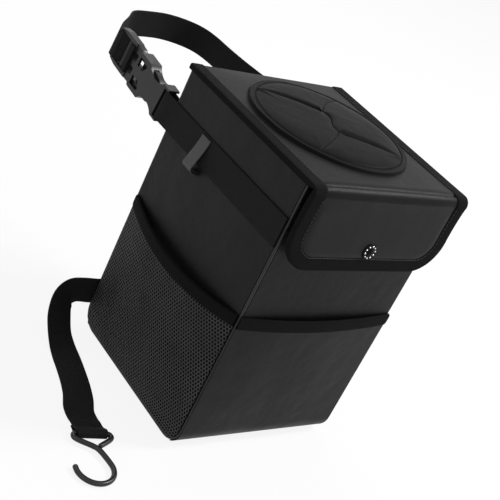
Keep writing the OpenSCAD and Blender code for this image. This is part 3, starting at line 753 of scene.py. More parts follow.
# Side views of the skin and of the tape, from the lid's back to the flap's foot
SKIN_SPINE = np.concatenate([
    [[80, 249.7], [60, 250.0], [20, 250.1], [-20, 250.1], [-60, 250.1], [-76, 250.2],
     [-80.5, 250.3], [-82.8, 250.05], [-84.3, 249.4], [-85.1, 248.8], [-85.7, 249.15]],
    crease_arc(6.5, [72, 58, 44, 30, 15, 0]),
    flap_point(np.array([10, 14, 20, 28, 36, 46, 56, 66.0]),
               np.array([1.75, 1.2, 0.6, 0.1, -0.15, -0.3, -0.35, -0.35])),
])
TAPE_SPINE = np.concatenate([
    [[80, 250.1], [40, 250.1], [0, 250.1], [-40, 250.1], [-70, 250.1], [-80, 250.15],
     [-83.6, 250.2]],
    crease_arc(6.95, [78, 62, 46, 30, 15, 0]),
    flap_point(np.array([10, 14, 20, 28, 36, 40.0]),
               np.array([2.1, 1.55, 0.95, 0.4, 0.05, 0.0])),
])


def split_at(path, y=None, z=None):
    """First point of a spine that is past y on the lid, or below z on the flap."""
    if y is not None:
        return int(np.argmax(path[:, 0] < y))
    return int(np.argmax(path[:, 1] < z))


def side_view(points):
    """A spine as a smooth curve, and its normals, which are square to its slope."""
    spine = spline(points, 8)
    t = tangents(spine)
    out = np.stack([-t[:, 1], t[:, 0]], -1)
    return spine, out * np.sign(out[0, 1])


def swell_across(x, s):
    """Swell between the bindings: flat over the middle, down to under the tape."""
    share = np.clip(np.abs(x) / (LID_HALF - 12), 0, 1.2)
    rise = (1 - share ** 6) * (s.lid_crown / MM + TAPE_DIP)
    return np.where(share < 1, rise, 0) - TAPE_DIP


def lid_skin(s):
    """Lid skin: a ring of rays from the square mouth out to the lid's outline. Height
    follows the spine, plus a swell that ends at the bindings."""
    spine, _ = side_view(SKIN_SPINE)
    back, front, hole = 79.5, -SKIN_HALF, MOUTH + 3
    a = np.linspace(-np.pi, np.pi, 192, endpoint=False)
    corners = np.arctan2([back, back, front, front], SKIN_HALF * np.array([1, -1, 1, -1]))
    a = np.sort(np.concatenate([a, corners]))
    c, d = np.cos(a), np.sin(a)
    small = hole / np.maximum(np.abs(c), np.abs(d))
    reach = np.where(d > 0, back / np.maximum(d, 1e-6), front / np.minimum(d, -1e-6))
    big = np.minimum(SKIN_HALF / np.maximum(np.abs(c), 1e-6), reach)
    r = small[:, None] + (big - small)[:, None] * np.linspace(0, 1, 26)[None]
    x, y = r * c[:, None], r * d[:, None]
    z = np.interp(-y, -spine[:, 0], spine[:, 1])
    z = z + swell_across(x, s) * np.clip((SKIN_HALF - y) / 25, 0, 1) ** 0.5
    z = z + 0.12 * ripple(x, y, 3)
    return slab("lid_skin", np.stack([x, y, z], -1),
                np.stack([x, y, np.full_like(x, LID_UNDER)], -1), "lid leatherette",
                close_u=True)


def crease_roll(s, start, end):
    """Part of the skin between two places of the spine: its lift is the swell and a
    ripple, and its back is 1.4 mm inside it."""
    spine, out = (a[start:end] for a in side_view(SKIN_SPINE))
    x = np.linspace(-SKIN_HALF, SKIN_HALF, 81)[None]
    lift = swell_across(x, s) + 0.12 * ripple(x + 0 * spine[:, :1], spine[:, 1:] + 0 * x, 5)
    return slab("crease_roll", raised(x, spine, out, lift),
                raised(x, spine, out, lift - 1.4), "lid leatherette")


def flap_skin(s):
    """Flap skin: rows go down the flap, each as wide as the outline with its round lower
    corners, and the face swells inside the binding, which is a fixed distance from the
    outline. Its first 12 mm run over from the roll's swell to its own."""
    spine, _ = side_view(SKIN_SPINE)
    drop = (LID_TOP - spine[:, 1]) / np.cos(TILT)
    below = slice(split_at(spine, z=LID_TOP - 6), None)
    straight, r = FLAP_DROP - FLAP_R, FLAP_R - 1.0
    w = np.concatenate([np.linspace(drop[split_at(spine, z=ROLL_END)], straight - 2, 24),
                        straight + r * np.sin(np.linspace(0, np.pi / 2, 20))])[:, None]
    face = np.stack([np.interp(w[:, 0], drop[below], spine[below, 0]),
                     flap_point(w[:, 0])[:, 1]], -1)
    past = np.clip(w - straight, 0, None)
    half = SKIN_HALF - (r - np.sqrt(np.clip(r ** 2 - past ** 2, 0, None)))
    x = np.linspace(-1, 1, 81)[None] * half
    # The face rises over 5 mm from 8.8 mm inside the outline, which the binding covers
    inset = r - np.hypot(np.clip(np.abs(x) - (SKIN_HALF - r), 0, None), past)
    edge = np.clip((inset - 8.8) / 5.0, 0, 1)
    lift = edge ** 0.5 * (s.lid_crown / MM + 0.3 + TAPE_DIP) - TAPE_DIP
    lift = lift + 0.18 * ripple(x, w + 0 * x, 6) * edge
    roll = swell_across(x, s) + 0.12 * ripple(x, face[:, 1:] + 0 * x, 5)
    lift = roll + (lift - roll) * np.clip((w - w[0]) / 12, 0, 1)
    out = np.tile([-np.cos(TILT), np.sin(TILT)], (len(w), 1))
    return slab("flap_skin", raised(x, face, out, lift),
                raised(x, flap_point(w[:, 0], -3.8), out, 0 * x), "flap leatherette")


def tape_section(width, depth):
    """Section of a tape folded over an edge: x inwards from the edge, y outwards. It runs
    along the outer face, round the edge and back below, then returns inside it."""
    a = np.linspace(0, np.pi / 2, 7)
    thick, r = 0.8, 1.1
    over = np.stack([np.linspace(width, r, 9), np.zeros(9)], -1)
    over[:, 1] = 0.12 * np.sin(np.linspace(0, np.pi, 9)) + 0.1
    over[0, 1] = -0.35
    turn = np.stack([r - r * np.sin(a), -r + r * np.cos(a)], -1)[1:]
    turn_low = np.stack([r - r * np.cos(a), -depth + r - r * np.sin(a)], -1)
    under = np.stack([np.linspace(r, width, 5), np.full(5, -depth)], -1)[1:]
    outer = np.concatenate([over, turn, turn_low, under])
    inner = np.array([[width, thick - depth], [thick, thick - depth], [thick, -thick - 0.2],
                      [width, -thick - 0.2]])
    return np.concatenate([outer, inner])


def binding_path(rows, mirrored=False):
    """Part of the lid's left edge and the flap's, then the flap's foot to its middle, or
    of its mirror image: the points, the direction into the sheet and its normal."""
    spine, out = side_view(TAPE_SPINE)
    n = len(spine)
    a = np.linspace(0, np.pi / 2, 25)[1:]
    w = FLAP_DROP - FLAP_R + FLAP_R * np.sin(a)
    corner = np.column_stack([-(LID_HALF - FLAP_R) - FLAP_R * np.cos(a), flap_point(w)])
    down = np.array([0, -np.sin(TILT), -np.cos(TILT)])
    corner_in = np.cos(a)[:, None] * [1.0, 0, 0] - np.sin(a)[:, None] * down
    x = np.linspace(-(LID_HALF - FLAP_R), 0, 20)[1:]
    foot = np.column_stack([x, flap_point(np.full(len(x), FLAP_DROP))])
    face = np.array([0, -np.cos(TILT), np.sin(TILT)])
    path = np.concatenate([np.column_stack([np.full(n, -LID_HALF), spine]), corner, foot])
    into = np.concatenate([np.tile([1.0, 0, 0], (n, 1)), corner_in,
                           np.tile(-down, (len(x), 1))])
    up = np.concatenate([np.column_stack([np.zeros(n), out]),
                         np.tile(face, (len(path) - n, 1))])
    return [a[rows] * [-1 if mirrored else 1, 1, 1] for a in (path, into, up)]


def binding(name, rows, mirrored, s, both=False):
    """Folded tape swept along part of the edge, or along it and its mirror image. Round
    the crease the fold is shallower, so that its inside doesn't cross itself."""
    path, into, up = binding_path(rows, mirrored)
    if both:
        path, into, up = (np.concatenate([a, (a * [-1, 1, 1])[::-1][1:]])
                          for a in (path, into, up))
    # The lid's fold is 4.8 mm deep, and 2.6 mm at the crease, near y -88 and z 248
    deep = 4.8 - 2.2 * np.exp(-((path[:, 1] + 88) / 4) ** 2 - ((path[:, 2] - 248) / 4) ** 2)
    deep = np.where(path[:, 2] < 244, FLAP_THICK, deep)
    section = np.stack([tape_section(s.tape_width / MM, d) for d in deep])
    return swept(name, path, into, up, section, "binding tape")


def stitch_row(name, rows, mirrored, s):
    """Row of stitches beside the binding's inner edge: each is a short capsule, a ball
    stretched along the row."""
    path, into, normal = binding_path(rows, mirrored)
    along = tangents(path)
    path = path + into * STITCH_IN + normal * 0.22
    run = run_of(path)
    places = np.arange(1.5, run[-1] - 1.5, STITCH_PITCH)
    centre, t, n = (np.stack([np.interp(places, run, a[:, k]) for k in range(3)], -1)
                    for a in (path, along, normal))
    t, n = unit(t), unit(n)
    b = np.cross(t, n)
    r = s.thread / MM / 2
    a = np.linspace(-np.pi / 2, np.pi / 2, 5)
    c = full_turn(6)
    x = (STITCH_HALF * np.sin(a))[:, None] + 0 * c
    y, z = (r * np.cos(a)[:, None] * f(c) for f in (np.cos, np.sin))
    ball = np.stack([x, y, z], -1).reshape(-1, 3)
    points = (centre[:, None] + ball[None, :, :1] * t[:, None] + ball[None, :, 1:2]
              * b[:, None] + ball[None, :, 2:] * n[:, None])
    one = quads(5, 6, False, True)
    faces = one[None] + len(ball) * np.arange(len(places))[:, None, None]
    return piece(name, points.reshape(-1, 3), [faces.reshape(-1, 4)], "sewing thread")


class BIN_OT_lid(bpy.types.Operator):
    """Build the skins and bindings of the lid and the flap, and the roll between them"""

    bl_idname = "litter_bin.lid"
    bl_label = "Lid and flap"

    def execute(self, context):
        s = context.scene.bin_sizes
        spine, _ = side_view(SKIN_SPINE)
        a, b = split_at(spine, y=CREASE_FROM), split_at(spine, z=ROLL_END)
        fitted(lid_skin(s), "lid", "lid_panel")
        roll = crease_roll(s, a - 1, b + 1)
        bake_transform(roll)
        fitted(flap_skin(s), "flap", "flap_panel")

        path = binding_path(slice(None))[0]
        p, q = split_at(path[:, 1:], y=CREASE_FROM), split_at(path[:, 1:], z=LID_TOP - 9)
        sides = (("left", False), ("right", True))
        for side, mirrored in sides:
            edge = binding(side + "_lid_tape", slice(0, p + 1), mirrored, s)
            fitted(edge, "lid", side + "_lid_binding")
            turn = binding(side + "_crease_tape", slice(p, q + 1), mirrored, s)
            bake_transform(turn)
            fitted(stitch_row(side + "_lid_stitches", slice(0, p), mirrored, s),
                   "lid")
        foot = binding("flap_tape", slice(q, None), False, s, both=True)
        fitted(foot, "flap", "flap_binding")
        for side, mirrored in sides:
            fitted(stitch_row(side + "_flap_stitches", slice(q, None), mirrored, s),
                   "flap")
        return {"FINISHED"}


# ---------------------------------------------------------------- petals


# Seams between the petals as points x, y from the ring inwards, and the curve between the
# two junctions where they meet
SEAMS = {
    "back_left": [[-43, 43], [-28, 38], [-12, 29]],
    "back_right": [[43, 43], [20, 31]],
    "front_right": [[43, -43], [27, -31], [12, -23]],
    "front_left": [[-43, -43], [-20, -29]],
}
JUNCTION_BACK, JUNCTION_FRONT = [4, 16], [-4, -16]
MIDDLE = [[5.2, 10], [4, 4], [0, -2], [-3.6, -8]]
DISC_R = 61.4
RIM_Z = HINGE_Z - 0.1
SLIT_FROM = 10       # an edge whose power is above this is a slit, whose walls get painted shade
# How many rings beside a slit take the webbing's finish as painted shade
SLIT_SHADE_RINGS = 6


def seam(name, end):
    """Seam from the ring to a junction, as a smooth curve of points x, y."""
    p = np.array(SEAMS[name] + [end], dtype=float)
    p[0] *= DISC_R / np.linalg.norm(p[0])
    return spline(p, 10)


def slit(name, end, wide, s):
    """Open seam, as points, gap and valley height: the gap widens from the ring to the
    junction, and the valley falls to the slit's depth."""
    p = seam(name, end)
    share = np.linspace(0, 1, len(p))
    opened = np.clip((share - 0.12) / 0.3, 0, 1)
    fall = HINGE_Z + 1.3 - s.slit_depth / MM - (RIM_Z + 1)
    return p, 0.12 + wide * opened + 0.5 * share ** 3, RIM_Z + 1 + fall * opened


def closed_seam(name, end):
    """Shut seam: the gap is even, and the valley rises from the ring inwards."""
    p = seam(name, end)
    share = np.clip(np.linspace(0, 1, len(p)) / 0.4, 0, 1)
    return p, np.full(len(p), 0.06), RIM_Z + (HINGE_Z + 2.4 - RIM_Z) * share


def rim_edge(start, end):
    """The ring's arc between two seams."""
    a0, a1 = np.arctan2(start[1], start[0]), np.arctan2(end[1], end[0])
    a = np.linspace(a0, a1 + 2 * np.pi if a1 < a0 else a1, 40)
    return (DISC_R * circle(a), np.zeros(40), np.full(40, RIM_Z)), 5.0


def turned(edge):
    """A petal's edge from its other end."""
    return tuple(a[::-1] for a in edge)


def petal(name, edges, middle, s):
    """Stuffed leaf. Its outline is the ring's arc and its seams, and each has its own gap,
    valley height and power p. Rings of the outline shrink to the middle by a factor t, and
    the height rises from the valley to the dome by the square root of 1 - t**p. The outer
    rings beside a slit get the webbing's finish, as painted shade in the slit."""
    rows = []
    for (points, gap, low), power in edges:
        t = tangents(points)
        inward = np.stack([-t[:, 1], t[:, 0]], -1)
        inward *= np.sign((inward * (np.asarray(middle) - points.mean(0))).sum(1).mean())
        flat = points + inward * gap[:, None]
        rows.append(np.column_stack([flat, low, np.full(len(flat), power)])[:-1])
    rows = np.concatenate(rows)
    rows = rows[np.linalg.norm(rows[:, :2] - np.roll(rows[:, :2], 1, 0), axis=1) > 0.05]
    outline, valley, power = rows[:, :2], rows[:, 2], rows[:, 3]
    slit_shade = power > SLIT_FROM
    t = np.sin(np.linspace(0.06, np.pi / 2, 28))[:, None]
    xy = np.asarray(middle) + t[..., None] * (outline - middle)[None]
    r = np.linalg.norm(xy, axis=-1) / DISC_R
    dome = HINGE_Z + 1.0 + s.petal_rise / MM * (1 - 0.55 * r ** 2) - 0.6
    dome = dome + 0.35 * ripple(xy[..., 0] * 1.6, xy[..., 1] * 1.6, 31)
    z = valley + (dome - valley) * np.clip(1 - t ** power, 0, 1) ** 0.5
    under_z = HINGE_Z + 0.1 - 2.4 * np.clip((MOUTH - 2 - np.abs(xy).max(-1)) / 3, 0, 1)
    under_z = np.minimum(under_z, valley - 0.2)
    top = np.concatenate([xy, z[..., None]], -1)
    low = np.concatenate([xy, under_z[..., None]], -1)
    n, m = top.shape[:2]
    points = np.concatenate([top.reshape(-1, 3), low.reshape(-1, 3),
                             top[0].mean(0)[None], low[0].mean(0)[None]])
    k = np.arange(m)
    nxt = (k + 1) % m
    upper = quads(n, m, False, True)
    lower = quads(n, m, False, True, n * m)[:, ::-1]
    wall = np.stack([(n - 1) * m + k, (n - 1) * m + nxt, (2 * n - 1) * m + nxt,
                     (2 * n - 1) * m + k], -1)
    cap = np.stack([np.full(m, 2 * n * m), nxt, k], -1)[:, ::-1]
    cap_low = np.stack([np.full(m, 2 * n * m + 1), n * m + k, n * m + nxt], -1)[:, ::-1]
    made = piece(name, points, [upper, lower, wall, cap, cap_low], "petal leatherette",
                 sharp=60)
    # Painted shade: the faces that run down into a slit take the webbing's finish
    made.data.materials.append(bpy.data.materials["strap webbing"])
    finish = np.zeros(len(made.data.polygons), np.int32)
    finish[(n - 1 - SLIT_SHADE_RINGS) * m:(n - 1) * m] = np.tile(slit_shade & np.roll(slit_shade, -1), SLIT_SHADE_RINGS)
    made.data.polygons.foreach_set("material_index", finish)
    return made


def welt():
    """Raised ring: a profile of radius and height turned about the upright axis, with a
    little waviness in its radius."""
    profile = spline(np.array([
        [RING_R + 4.4, 249.6], [RING_R + 3.2, 250.3], [RING_R + 2.6, 251.1],
        [RING_R + 2.3, 252.1], [RING_R + 1.5, 253.2], [RING_R, RING_TOP - 1.7],
        [RING_R - 1.5, 253.5], [RING_R - 2.5, 252.7], [RING_R - 3.0, 251.9],
        [RING_R - 3.3, 250.9]]), 5)
    a = full_turn(160)[:, None]
    wobble = 0.12 * np.sin(9 * a + 1) + 0.1 * np.sin(17 * a)
    r, z = profile[None, :, 0] + wobble, profile[None, :, 1]
    outer = np.stack([r * np.cos(a), r * np.sin(a), z + 0 * a], -1)
    inner = outer.copy()
    inner[..., 2] = 249.0
    return slab("ring_welt", outer, inner, "petal leatherette", close_u=True, sharp=70)


class BIN_OT_petals(bpy.types.Operator):
    """Build the raised ring and the four stuffed petals that close the mouth"""

    bl_idname = "litter_bin.petals"
    bl_label = "Ring and petals"

    def execute(self, context):
        s = context.scene.bin_sizes
        fitted(welt(), "lid", "petal_ring")
        bl = slit("back_left", JUNCTION_BACK, 0.45, s)
        fr = slit("front_right", JUNCTION_FRONT, 1.1, s)
        br = closed_seam("back_right", JUNCTION_BACK)
        fl = closed_seam("front_left", JUNCTION_FRONT)
        middle = spline(np.array([JUNCTION_BACK] + MIDDLE + [JUNCTION_FRONT], float), 8)
        mid = middle, np.full(len(middle), 0.1), np.full(len(middle), HINGE_Z + 2.2)
        a, b, c, d = (x[0][0] for x in (bl, br, fr, fl))
        # Each petal's edges with their powers, its middle, and the way to its hinge
        leaves = {
            "left": ([rim_edge(a, d), (fl, 9), (turned(mid), 7), (turned(bl), 16)],
                     (-27, 0), (-1, 0)),
            "back": ([rim_edge(b, a), (bl, 14), (turned(br), 7)], (1, 43), (0, 1)),
            "right": ([rim_edge(c, b), (br, 9), (mid, 9), (turned(fr), 16)],
                      (27, 0), (1, 0)),
            "front": ([rim_edge(d, c), (fr, 14), (turned(fl), 7)], (-1, -43), (0, -1)),
        }
        for name, (edges, centre, way) in leaves.items():
            made = petal(name + "_petal_skin", edges, centre, s)
            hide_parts("petal_" + name)
            name + "_leaf"
            way[0] * 0.045
            way[1] * 0.045
            way[0] * 0.038
            way[1] * 0.038
            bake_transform(made)
        return {"FINISHED"}


# ---------------------------------------------------------------- straps and buckle

# The buckle's middle, its slope and how far it starts behind the wall. PLUG_U and
# PLUG_END are where the plug's ladder begins and ends along it.
BUCKLE_X, BUCKLE_TILT, STRAP_GAP = -77.9, np.radians(6), 12.0
PLUG_U, PLUG_END = 62.0, 89.0


def by_buckle(u, out):
    """Point beside the buckle: u along it from the receiver's end, out from its middle."""
    reach = STRAP_GAP + u
    return [BUCKLE_X - out, HALF_D + reach * np.cos(BUCKLE_TILT),
            BAND_Z + reach * np.sin(BUCKLE_TILT), 0, -np.sin(BUCKLE_TILT),
            np.cos(BUCKLE_TILT)]


def upright(points):
    """Adds the upward direction across the webbing to points x, y, z."""
    return [list(p) + [0, 0, 1] for p in points]


def long_route():
    """Through the plug's ladder, over its first bar, under its middle one and over its
    end, then round behind the bin and along the right wall."""
    over, under = 4.15, 3.05
    start, bar, end = PLUG_U + 4.2, PLUG_U + 11.5, PLUG_END - 4.5
    near = [(PLUG_U + 0.5, over), (PLUG_U + 2.5, over), (start + 0.3, over - 0.05),
            (start + 1.6, over - 1.6), (start + 2.6, over - 4.2), (bar - 1.6, 0.2 - under),
            (bar, -under), (bar + 1.8, 0.3 - under), (bar + 5.2, over - 4.2),
            (end - 1.4, over - 1.4), (end - 0.2, over - 0.1), (end + 1.5, over),
            (PLUG_END + 0.3, over), (PLUG_END + 2.5, over - 0.9), (PLUG_END + 6, 0.5),
            (PLUG_END + 13, -5), (PLUG_END + 24, -16)]
    wall = HALF_W + WEB_T / 2
    far = [(-42, 226, 214), (-21, 233, 213.5), (2, 236.5, 213), (22, 232, 212.5),
           (35, 222, 212), (41.5, 208, 211), (44.5, 192, 210), (50, 172, 208.5),
           (58, 150, 207), (67, 128, 205.5), (75, 108, 204.2), (79.8, 92, BAND_Z + 0.2),
           (wall, 78, BAND_Z), (wall, 50, BAND_Z), (wall, -20, BAND_Z),
           (wall, PIPING - HALF_D, BAND_Z)]
    return [by_buckle(*p) for p in near] + upright(far)


def left_route():
    """Along the left wall and round the receiver's bar."""
    wall = -HALF_W - WEB_T / 2
    turn = [by_buckle(2.1 + 3.1 * np.sin(b), 0.8 + 3.6 * np.cos(b))
            for b in np.radians([0, 30, 60, 90, 120, 150, 180])]
    return (upright([(wall, PIPING - HALF_D, BAND_Z), (wall, -40, BAND_Z),
                     (wall, 20, BAND_Z), (wall, 60, BAND_Z), (wall, 77, BAND_Z)])
            + [by_buckle(-9, 3.3), by_buckle(-3, 4.2)] + turn
            + [by_buckle(-3, -2.8), by_buckle(-9.5, -2.8)])


# The middle of the wire hook's bar, the way that it points, the wire's radius, and the
# height of webbing that lies on the floor
HOOK_AT = np.array([-144.5, -58.0, 3.65])
HOOK_TURN = np.radians(10)
WIRE_R = 2.1
FLAT_Z = WEB_T / 2 + 0.05


def behind_hook(s, z):
    """Point of the lower strap: s back from the hook's bar, at height z."""
    return [HOOK_AT[0] + s * np.sin(HOOK_TURN), HOOK_AT[1] + s * np.cos(HOOK_TURN), z,
            -np.cos(HOOK_TURN), np.sin(HOOK_TURN), 0]


def lower_route():
    """Down from the back wall, over the floor and in a fold round the hook's bar."""
    back, turn = HALF_D + WEB_T / 2, 3.0
    fall = [[-48, back, 30, 0, 0, 1], [-64, back, 30, 0, 0, 1],
            [-80, back + 0.2, 30, 0, 0, 1], [-94, back + 1, 30.5, 0, 0, 1],
            [-105, back - 1, 29, -0.1, 0.3, 1], [-112, back - 6, 23.5, -0.5, 0.4, 0.8],
            [-116, back - 15, 15.5, -0.8, 0.3, 0.5], [-118, back - 25, 8.5, -1, 0.1, 0.3],
            [-119, back - 36, 3.4, -1, 0, 0.1],
            [-120.5, back - 48, FLAT_Z + 0.3, -1, 0, 0], [-124, 16, FLAT_Z, -1, 0, 0],
            [-128, 0, FLAT_Z, -1, 0, 0], [-133, -15, FLAT_Z, -1, 0, 0],
            behind_hook(30, FLAT_Z), behind_hook(20, FLAT_Z),
            behind_hook(14, FLAT_Z + WEB_T), behind_hook(8, FLAT_Z + WEB_T + 0.8),
            behind_hook(4, HOOK_AT[2] + 1.25)]
    fold = [behind_hook(turn * np.cos(a), HOOK_AT[2] + turn * np.sin(a))
            for a in np.radians(np.arange(64, 270, 34.3))]
    return fall + fold + [behind_hook(turn / 2, FLAT_Z), behind_hook(11, FLAT_Z)]


def side_loop(name, sign):
    """Narrow ribbon stood off the webbing: its side view is a spline down, out to a soft
    fold and back in."""
    wall = HALF_W + WEB_T + 0.45
    points = np.array([[wall + 0.1, 214], [wall + 0.4, 211], [wall + 2.2, 204],
                       [wall + 4.8, 196.5], [wall + 6.6, 191.2], [wall + 7.0, 189.2],
                       [wall + 6.2, 187.4], [wall + 3.4, 185.3], [wall - 0.6, 183.9]])
    route = [[sign * x, 30.0, z, 0, 1, 0] for x, z in points]
    return ribbon(name, route, 12.0, 0.9, "loop ribbon", 6)[0]


class BIN_OT_straps(bpy.types.Operator):
    """Lay the straps along their routes and sew the side loops"""

    bl_idname = "litter_bin.straps"
    bl_label = "Straps and loops"

    def execute(self, context):
        for name, node, route, held, rests in (
            ("left_webbing", "left_strap", left_route(), "stretched", ["left_skin"]),
            ("long_webbing", "long_strap", long_route(), "hung", ["buckle_plug_moulding"]),
            ("lower_webbing", "lower_strap", lower_route(), "laid", ["body_skin"]),
        ):
            made, run = ribbon(name, route, WEB_W, WEB_T, "strap webbing")
            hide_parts(node)
            if name == "long_webbing":
                end = by_buckle(PLUG_END + 4, 0)
                [v * MM for v in end[:3]]
                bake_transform(made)
            else:
                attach(made, "bag")
        for side, sign in (("left", -1), ("right", 1)):
            fitted(side_loop(side + "_ribbon_loop", sign), "bag", side + "_loop")
        return {"FINISHED"}


def softened(node, name, width):
    """Copy of a CAD node with its doubles merged, its flat faces joined and each of its
    edges rounded by a bevel of the given width."""
    mesh = bpy.data.objects[node].data.copy()
    work = bmesh.new()
    work.from_mesh(mesh)
    bmesh.ops.remove_doubles(work, verts=work.verts, dist=1e-6)
    bmesh.ops.dissolve_limit(work, angle_limit=np.radians(1.0), verts=work.verts,
                             edges=work.edges)
    work.to_mesh(mesh)
    work.free()
    mesh.materials.clear()
    mesh.materials.append(bpy.data.materials["buckle plastic"])
    mesh.shade_smooth()
    mesh.set_sharp_from_angle(angle=np.radians(40))
    made = put_in_scene(name, mesh)
    edge = made.modifiers.new("round edges", "BEVEL")
    edge.width, edge.segments, edge.limit_method = width * MM, 3, "ANGLE"
    edge.angle_limit = np.radians(35)
    return made


class BIN_OT_buckle(bpy.types.Operator):
    """Round the edges of the buckle's two halves"""

    bl_idname = "litter_bin.buckle"
    bl_label = "Buckle"

    def execute(self, context):
        for half, body in (("buckle_receiver", "bag"), ("buckle_plug", "plug")):
            fitted(softened(half, half + "_moulding", 0.45), body, half)
        return {"FINISHED"}


class BIN_OT_hook(bpy.types.Operator):
    """Bend the coated wire into the ring, shank and hook"""

    bl_idname = "litter_bin.hook"
    bl_label = "Wire hook"

    def execute(self, context):
        half, shoulder, bow, bow_y = 15.6, 4.8, 15.0, 35.0
        a = np.radians(np.arange(-14, 185, 16.5))
        sweep = np.array([-8.0, bow_y]) + bow * circle(a)
        line = np.concatenate([[
            [3.9, 12.4], [half - 3.5, 7.2], [half - 0.3, shoulder - 0.8], [half - 0.8, 0.9],
            [half - 3, 0], [half - 5, 0], [0, 0], [5 - half, 0], [3 - half, 0],
            [0.8 - half, 0.9], [0.3 - half, shoulder - 0.8], [3.5 - half, 7.2],
            [-3, 12.6], [1, 16.2], [4, 23]], sweep])
        flat = spline(line, 8) * [1, -1]
        # The hook leans down until its bow lies on the floor, then turns about z
        lean = np.arcsin((HOOK_AT[2] - WIRE_R - 0.05) / (bow_y + bow))
        c, d = np.cos(lean), np.sin(lean)
        x, y, z = flat[:, 0], flat[:, 1] * c, flat[:, 1] * d
        e, f = np.cos(-HOOK_TURN), np.sin(-HOOK_TURN)
        path = HOOK_AT + np.stack([x * e - y * f, x * f + y * e, z], -1)
        made = tube("wire_hook_skin", path, WIRE_R, np.array([d * f, -d * e, c]),
                    "hook coating")
        fitted(made, "wire_hook", "hook")
        return {"FINISHED"}


SNAP_UP = 18.0       # height of the snap's middle over the flap's foot


def on_flap(x, up, out):
    """Point of the flap: x across, up from the snap's middle, out along the normal."""
    y, z = np.moveaxis(flap_point(FLAP_DROP - SNAP_UP - up, out), -1, 0)
    return np.stack(np.broadcast_arrays(x, y, z), -1)


def snap_dome():
    """Cap of the snap: a profile of radius and height turned about the flap's normal."""
    profile = spline(np.array([[7.0, -0.1], [7.1, 0.5], [6.8, 1.0], [6.0, 1.25], [5.2, 1.0],
                               [4.2, 1.3], [3.4, 2.0], [2.2, 2.5], [1.0, 2.75],
                               [0.15, 2.8]]), 4)
    a = full_turn(48)[:, None]
    r, h = profile[None, :, 0], profile[None, :, 1]
    x, up = r * np.cos(a), r * np.sin(a)
    return slab("snap_dome", on_flap(x, up, h + 0 * a), on_flap(x, up, -0.8 + 0 * x),
                "snap lacquer", close_u=True)


def snap_beads(count=10, ring=4.9, radius=0.8):
    """Ring of balls on the cap, each a grid of 8 by 12 points."""
    u = np.linspace(0.05, np.pi - 0.05, 8)[:, None]
    v = full_turn(12)[None]
    ball = radius * np.stack([np.sin(u) * np.cos(v), np.sin(u) * np.sin(v),
                              np.cos(u) + 0 * v], -1).reshape(-1, 3)
    at = np.column_stack([ring * circle(full_turn(count) + 0.2), np.full(count, 1.5)])
    p = (at[:, None] + ball).reshape(-1, 3)
    faces = (quads(8, 12, False, True)[None] + len(ball) * np.arange(count)[:, None, None])
    return piece("snap_beads", on_flap(*p.T), [faces.reshape(-1, 4)], "snap beads")


class BIN_OT_snap(bpy.types.Operator):
    """Turn the snap's cap and set its bright beads round it"""

    bl_idname = "litter_bin.snap"
    bl_label = "Snap"

    def execute(self, context):
        fitted(snap_dome(), "flap", "snap_cap")
        fitted(snap_beads(), "flap")
        return {"FINISHED"}


# ---------------------------------------------------------------- finishes and stage


class BIN_OT_finishes(bpy.types.Operator):
    """Make the materials that the pieces share"""

    bl_idname = "litter_bin.finishes"
    bl_label = "Materials"

    def execute(self, context):
        make_materials(context.scene.bin_colours)
        return {"FINISHED"}


class BIN_OT_dress(bpy.types.Operator):
    """Give the CAD pieces that stay their materials"""

    bl_idname = "litter_bin.dress"
    bl_label = "Dress CAD pieces"

    def execute(self, context):
        plan = {
            # The pipings take the lightened leatherette, a painted highlight
            "piping painted highlight": ["left_piping", "right_piping"],
            "stiffener board": ["front_board", "back_board", "left_board", "right_board",
                                "bottom_board"],
            "liner cloth": ["liner"],
            "binding tape": ["rim_binding", "hinge_tape"],
            "snap lacquer": ["snap_stud", "snap_socket"],
            "petal leatherette": ["petal_surround"],
        }
        for material, nodes in plan.items():
            for node in nodes:
                for slot in bpy.data.objects[node].material_slots:
                    slot.material = bpy.data.materials[material]
        return {"FINISHED"}


# The photograph's camera: its focal length in pixels of a 500 pixel frame, its place in
# metres, and the directions of the frame's right, its foot and the view
FRAME, FOCAL = 500.0, 1122.9
EYE = (-0.6136, -0.5493, 0.5218)
RIGHT, DOWN, AHEAD = (np.array(v) for v in (
    (0.7474, -0.5262, 0.4054), (0.0206, -0.5917, -0.8059), (0.664, 0.6107, -0.4314)))
SENSOR = 36.0
WHITE = (1, 1, 1, 1)


def axes_at(x, y, z, at):
    """Matrix of an object with these axes, at a point."""
    return Matrix([[x[k], y[k], z[k], at[k]] for k in range(3)] + [[0, 0, 0, 1]])


def lamp(name, at, to, size, power):
    """Square soft light at a point, turned to face another."""
    light = bpy.data.lights.new(name, "AREA")
    light.size, light.energy = size, power
    z = unit(np.array(at, float) - np.array(to, float))
    x = unit(np.cross([0, 0, 1.0], z))
    put_in_scene(name, light).matrix_world = axes_at(x, np.cross(z, x), z, at)


def make_floor(base, half=4.0, z=-0.0004):
    """Pale square just under the object, which shows its shadow."""
    r = Recipe(bpy.data.materials.new("pale floor"))
    r.finish(Base_Color=base, Roughness=0.9, Specular_IOR_Level=0.1)
    white = r.node("ShaderNodeEmission", None, {"Color": WHITE, "Strength": 1.0})
    r.backdrop(Socket(r, r.tree.nodes["Principled BSDF"].outputs[0]), white, 0.88)
    mesh = bpy.data.meshes.new("floor")
    mesh.from_pydata([(-half, -half, z), (half, -half, z), (half, half, z),
                      (-half, half, z)], [], [(0, 1, 2, 3)])
    mesh.materials.append(r.owner)
    put_in_scene("floor", mesh)


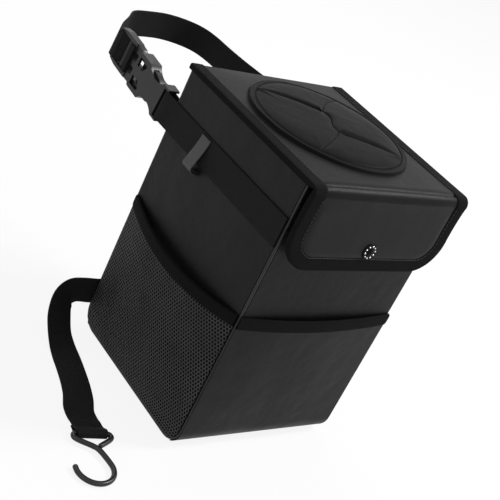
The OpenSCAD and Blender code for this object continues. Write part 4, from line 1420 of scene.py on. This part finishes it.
class BIN_OT_stage(bpy.types.Operator):
    """Set up the floor, the lamps, the world and the camera"""

    bl_idname = "litter_bin.stage"
    bl_label = "Stage"

    def execute(self, context):
        scene = context.scene
        scene.view_settings.view_transform = "Standard"
        make_floor(scene.bin_colours.floor)
        lamp("key lamp", (1.4, -0.5, 1.75), (0, -0.06, 0.2), 0.45, 42.0)
        lamp("front lamp", (-0.1, -2.0, 0.9), (0, 0, 0.12), 1.2, 3.0)
        lamp("fill lamp", (-1.9, -0.5, 0.9), (0, 0, 0.12), 1.4, 3.8)
        lamp("back lamp", (0.4, 1.7, 1.9), (0, 0, 0.2), 1.4, 13.0)
        w = Recipe(bpy.data.worlds.new("studio"))
        scene.world = w.owner
        w.tree.nodes.remove(w.tree.nodes["Background"])
        soft, bright = (w.node("ShaderNodeBackground", None,
                               {"Color": WHITE, "Strength": power}) for power in (0.36, 1.0))
        w.backdrop(soft, bright)

        camera = bpy.data.cameras.new("camera")
        camera.sensor_width = SENSOR
        camera.lens = FOCAL * SENSOR / FRAME
        camera.clip_start = 0.01
        view = put_in_scene("camera", camera)
        view.matrix_world = axes_at(RIGHT, -DOWN, -AHEAD, EYE)
        scene.camera = view
        return {"FINISHED"}


# ---------------------------------------------------------------- add-on


class BIN_PT_panel(bpy.types.Panel):
    """Sizes, colours and builders of the litter bin"""

    bl_label = "Litter Bin"
    bl_idname = "BIN_PT_panel"
    bl_space_type = "VIEW_3D"
    bl_region_type = "UI"
    bl_category = "Litter Bin"

    def draw(self, context):
        layout = self.layout
        for group, kind in ((context.scene.bin_sizes, BinSizes),
                            (context.scene.bin_colours, BinColours)):
            box = layout.box()
            for name in kind.__annotations__:
                box.prop(group, name)
        for step in STEPS:
            layout.operator(step.bl_idname)


STEPS = (BIN_OT_finishes, BIN_OT_stage, BIN_OT_body, BIN_OT_pockets, BIN_OT_lid,
         BIN_OT_petals, BIN_OT_straps, BIN_OT_buckle, BIN_OT_hook, BIN_OT_snap, BIN_OT_dress)
CLASSES = (BinSizes, BinColours) + STEPS + (BIN_PT_panel,)


def register():
    for kind in CLASSES:
        bpy.utils.register_class(kind)
    bpy.types.Scene.bin_sizes = bpy.props.PointerProperty(type=BinSizes)
    bpy.types.Scene.bin_colours = bpy.props.PointerProperty(type=BinColours)


def unregister():
    del bpy.types.Scene.bin_colours
    del bpy.types.Scene.bin_sizes
    for kind in reversed(CLASSES):
        bpy.utils.unregister_class(kind)


def main():
    """Builds the bin."""
    register()
    for step in STEPS:
        group, name = step.bl_idname.split(".")
        getattr(getattr(bpy.ops, group), name)()
    bpy.context.view_layer.update()


if __name__ == "__main__":
    main()
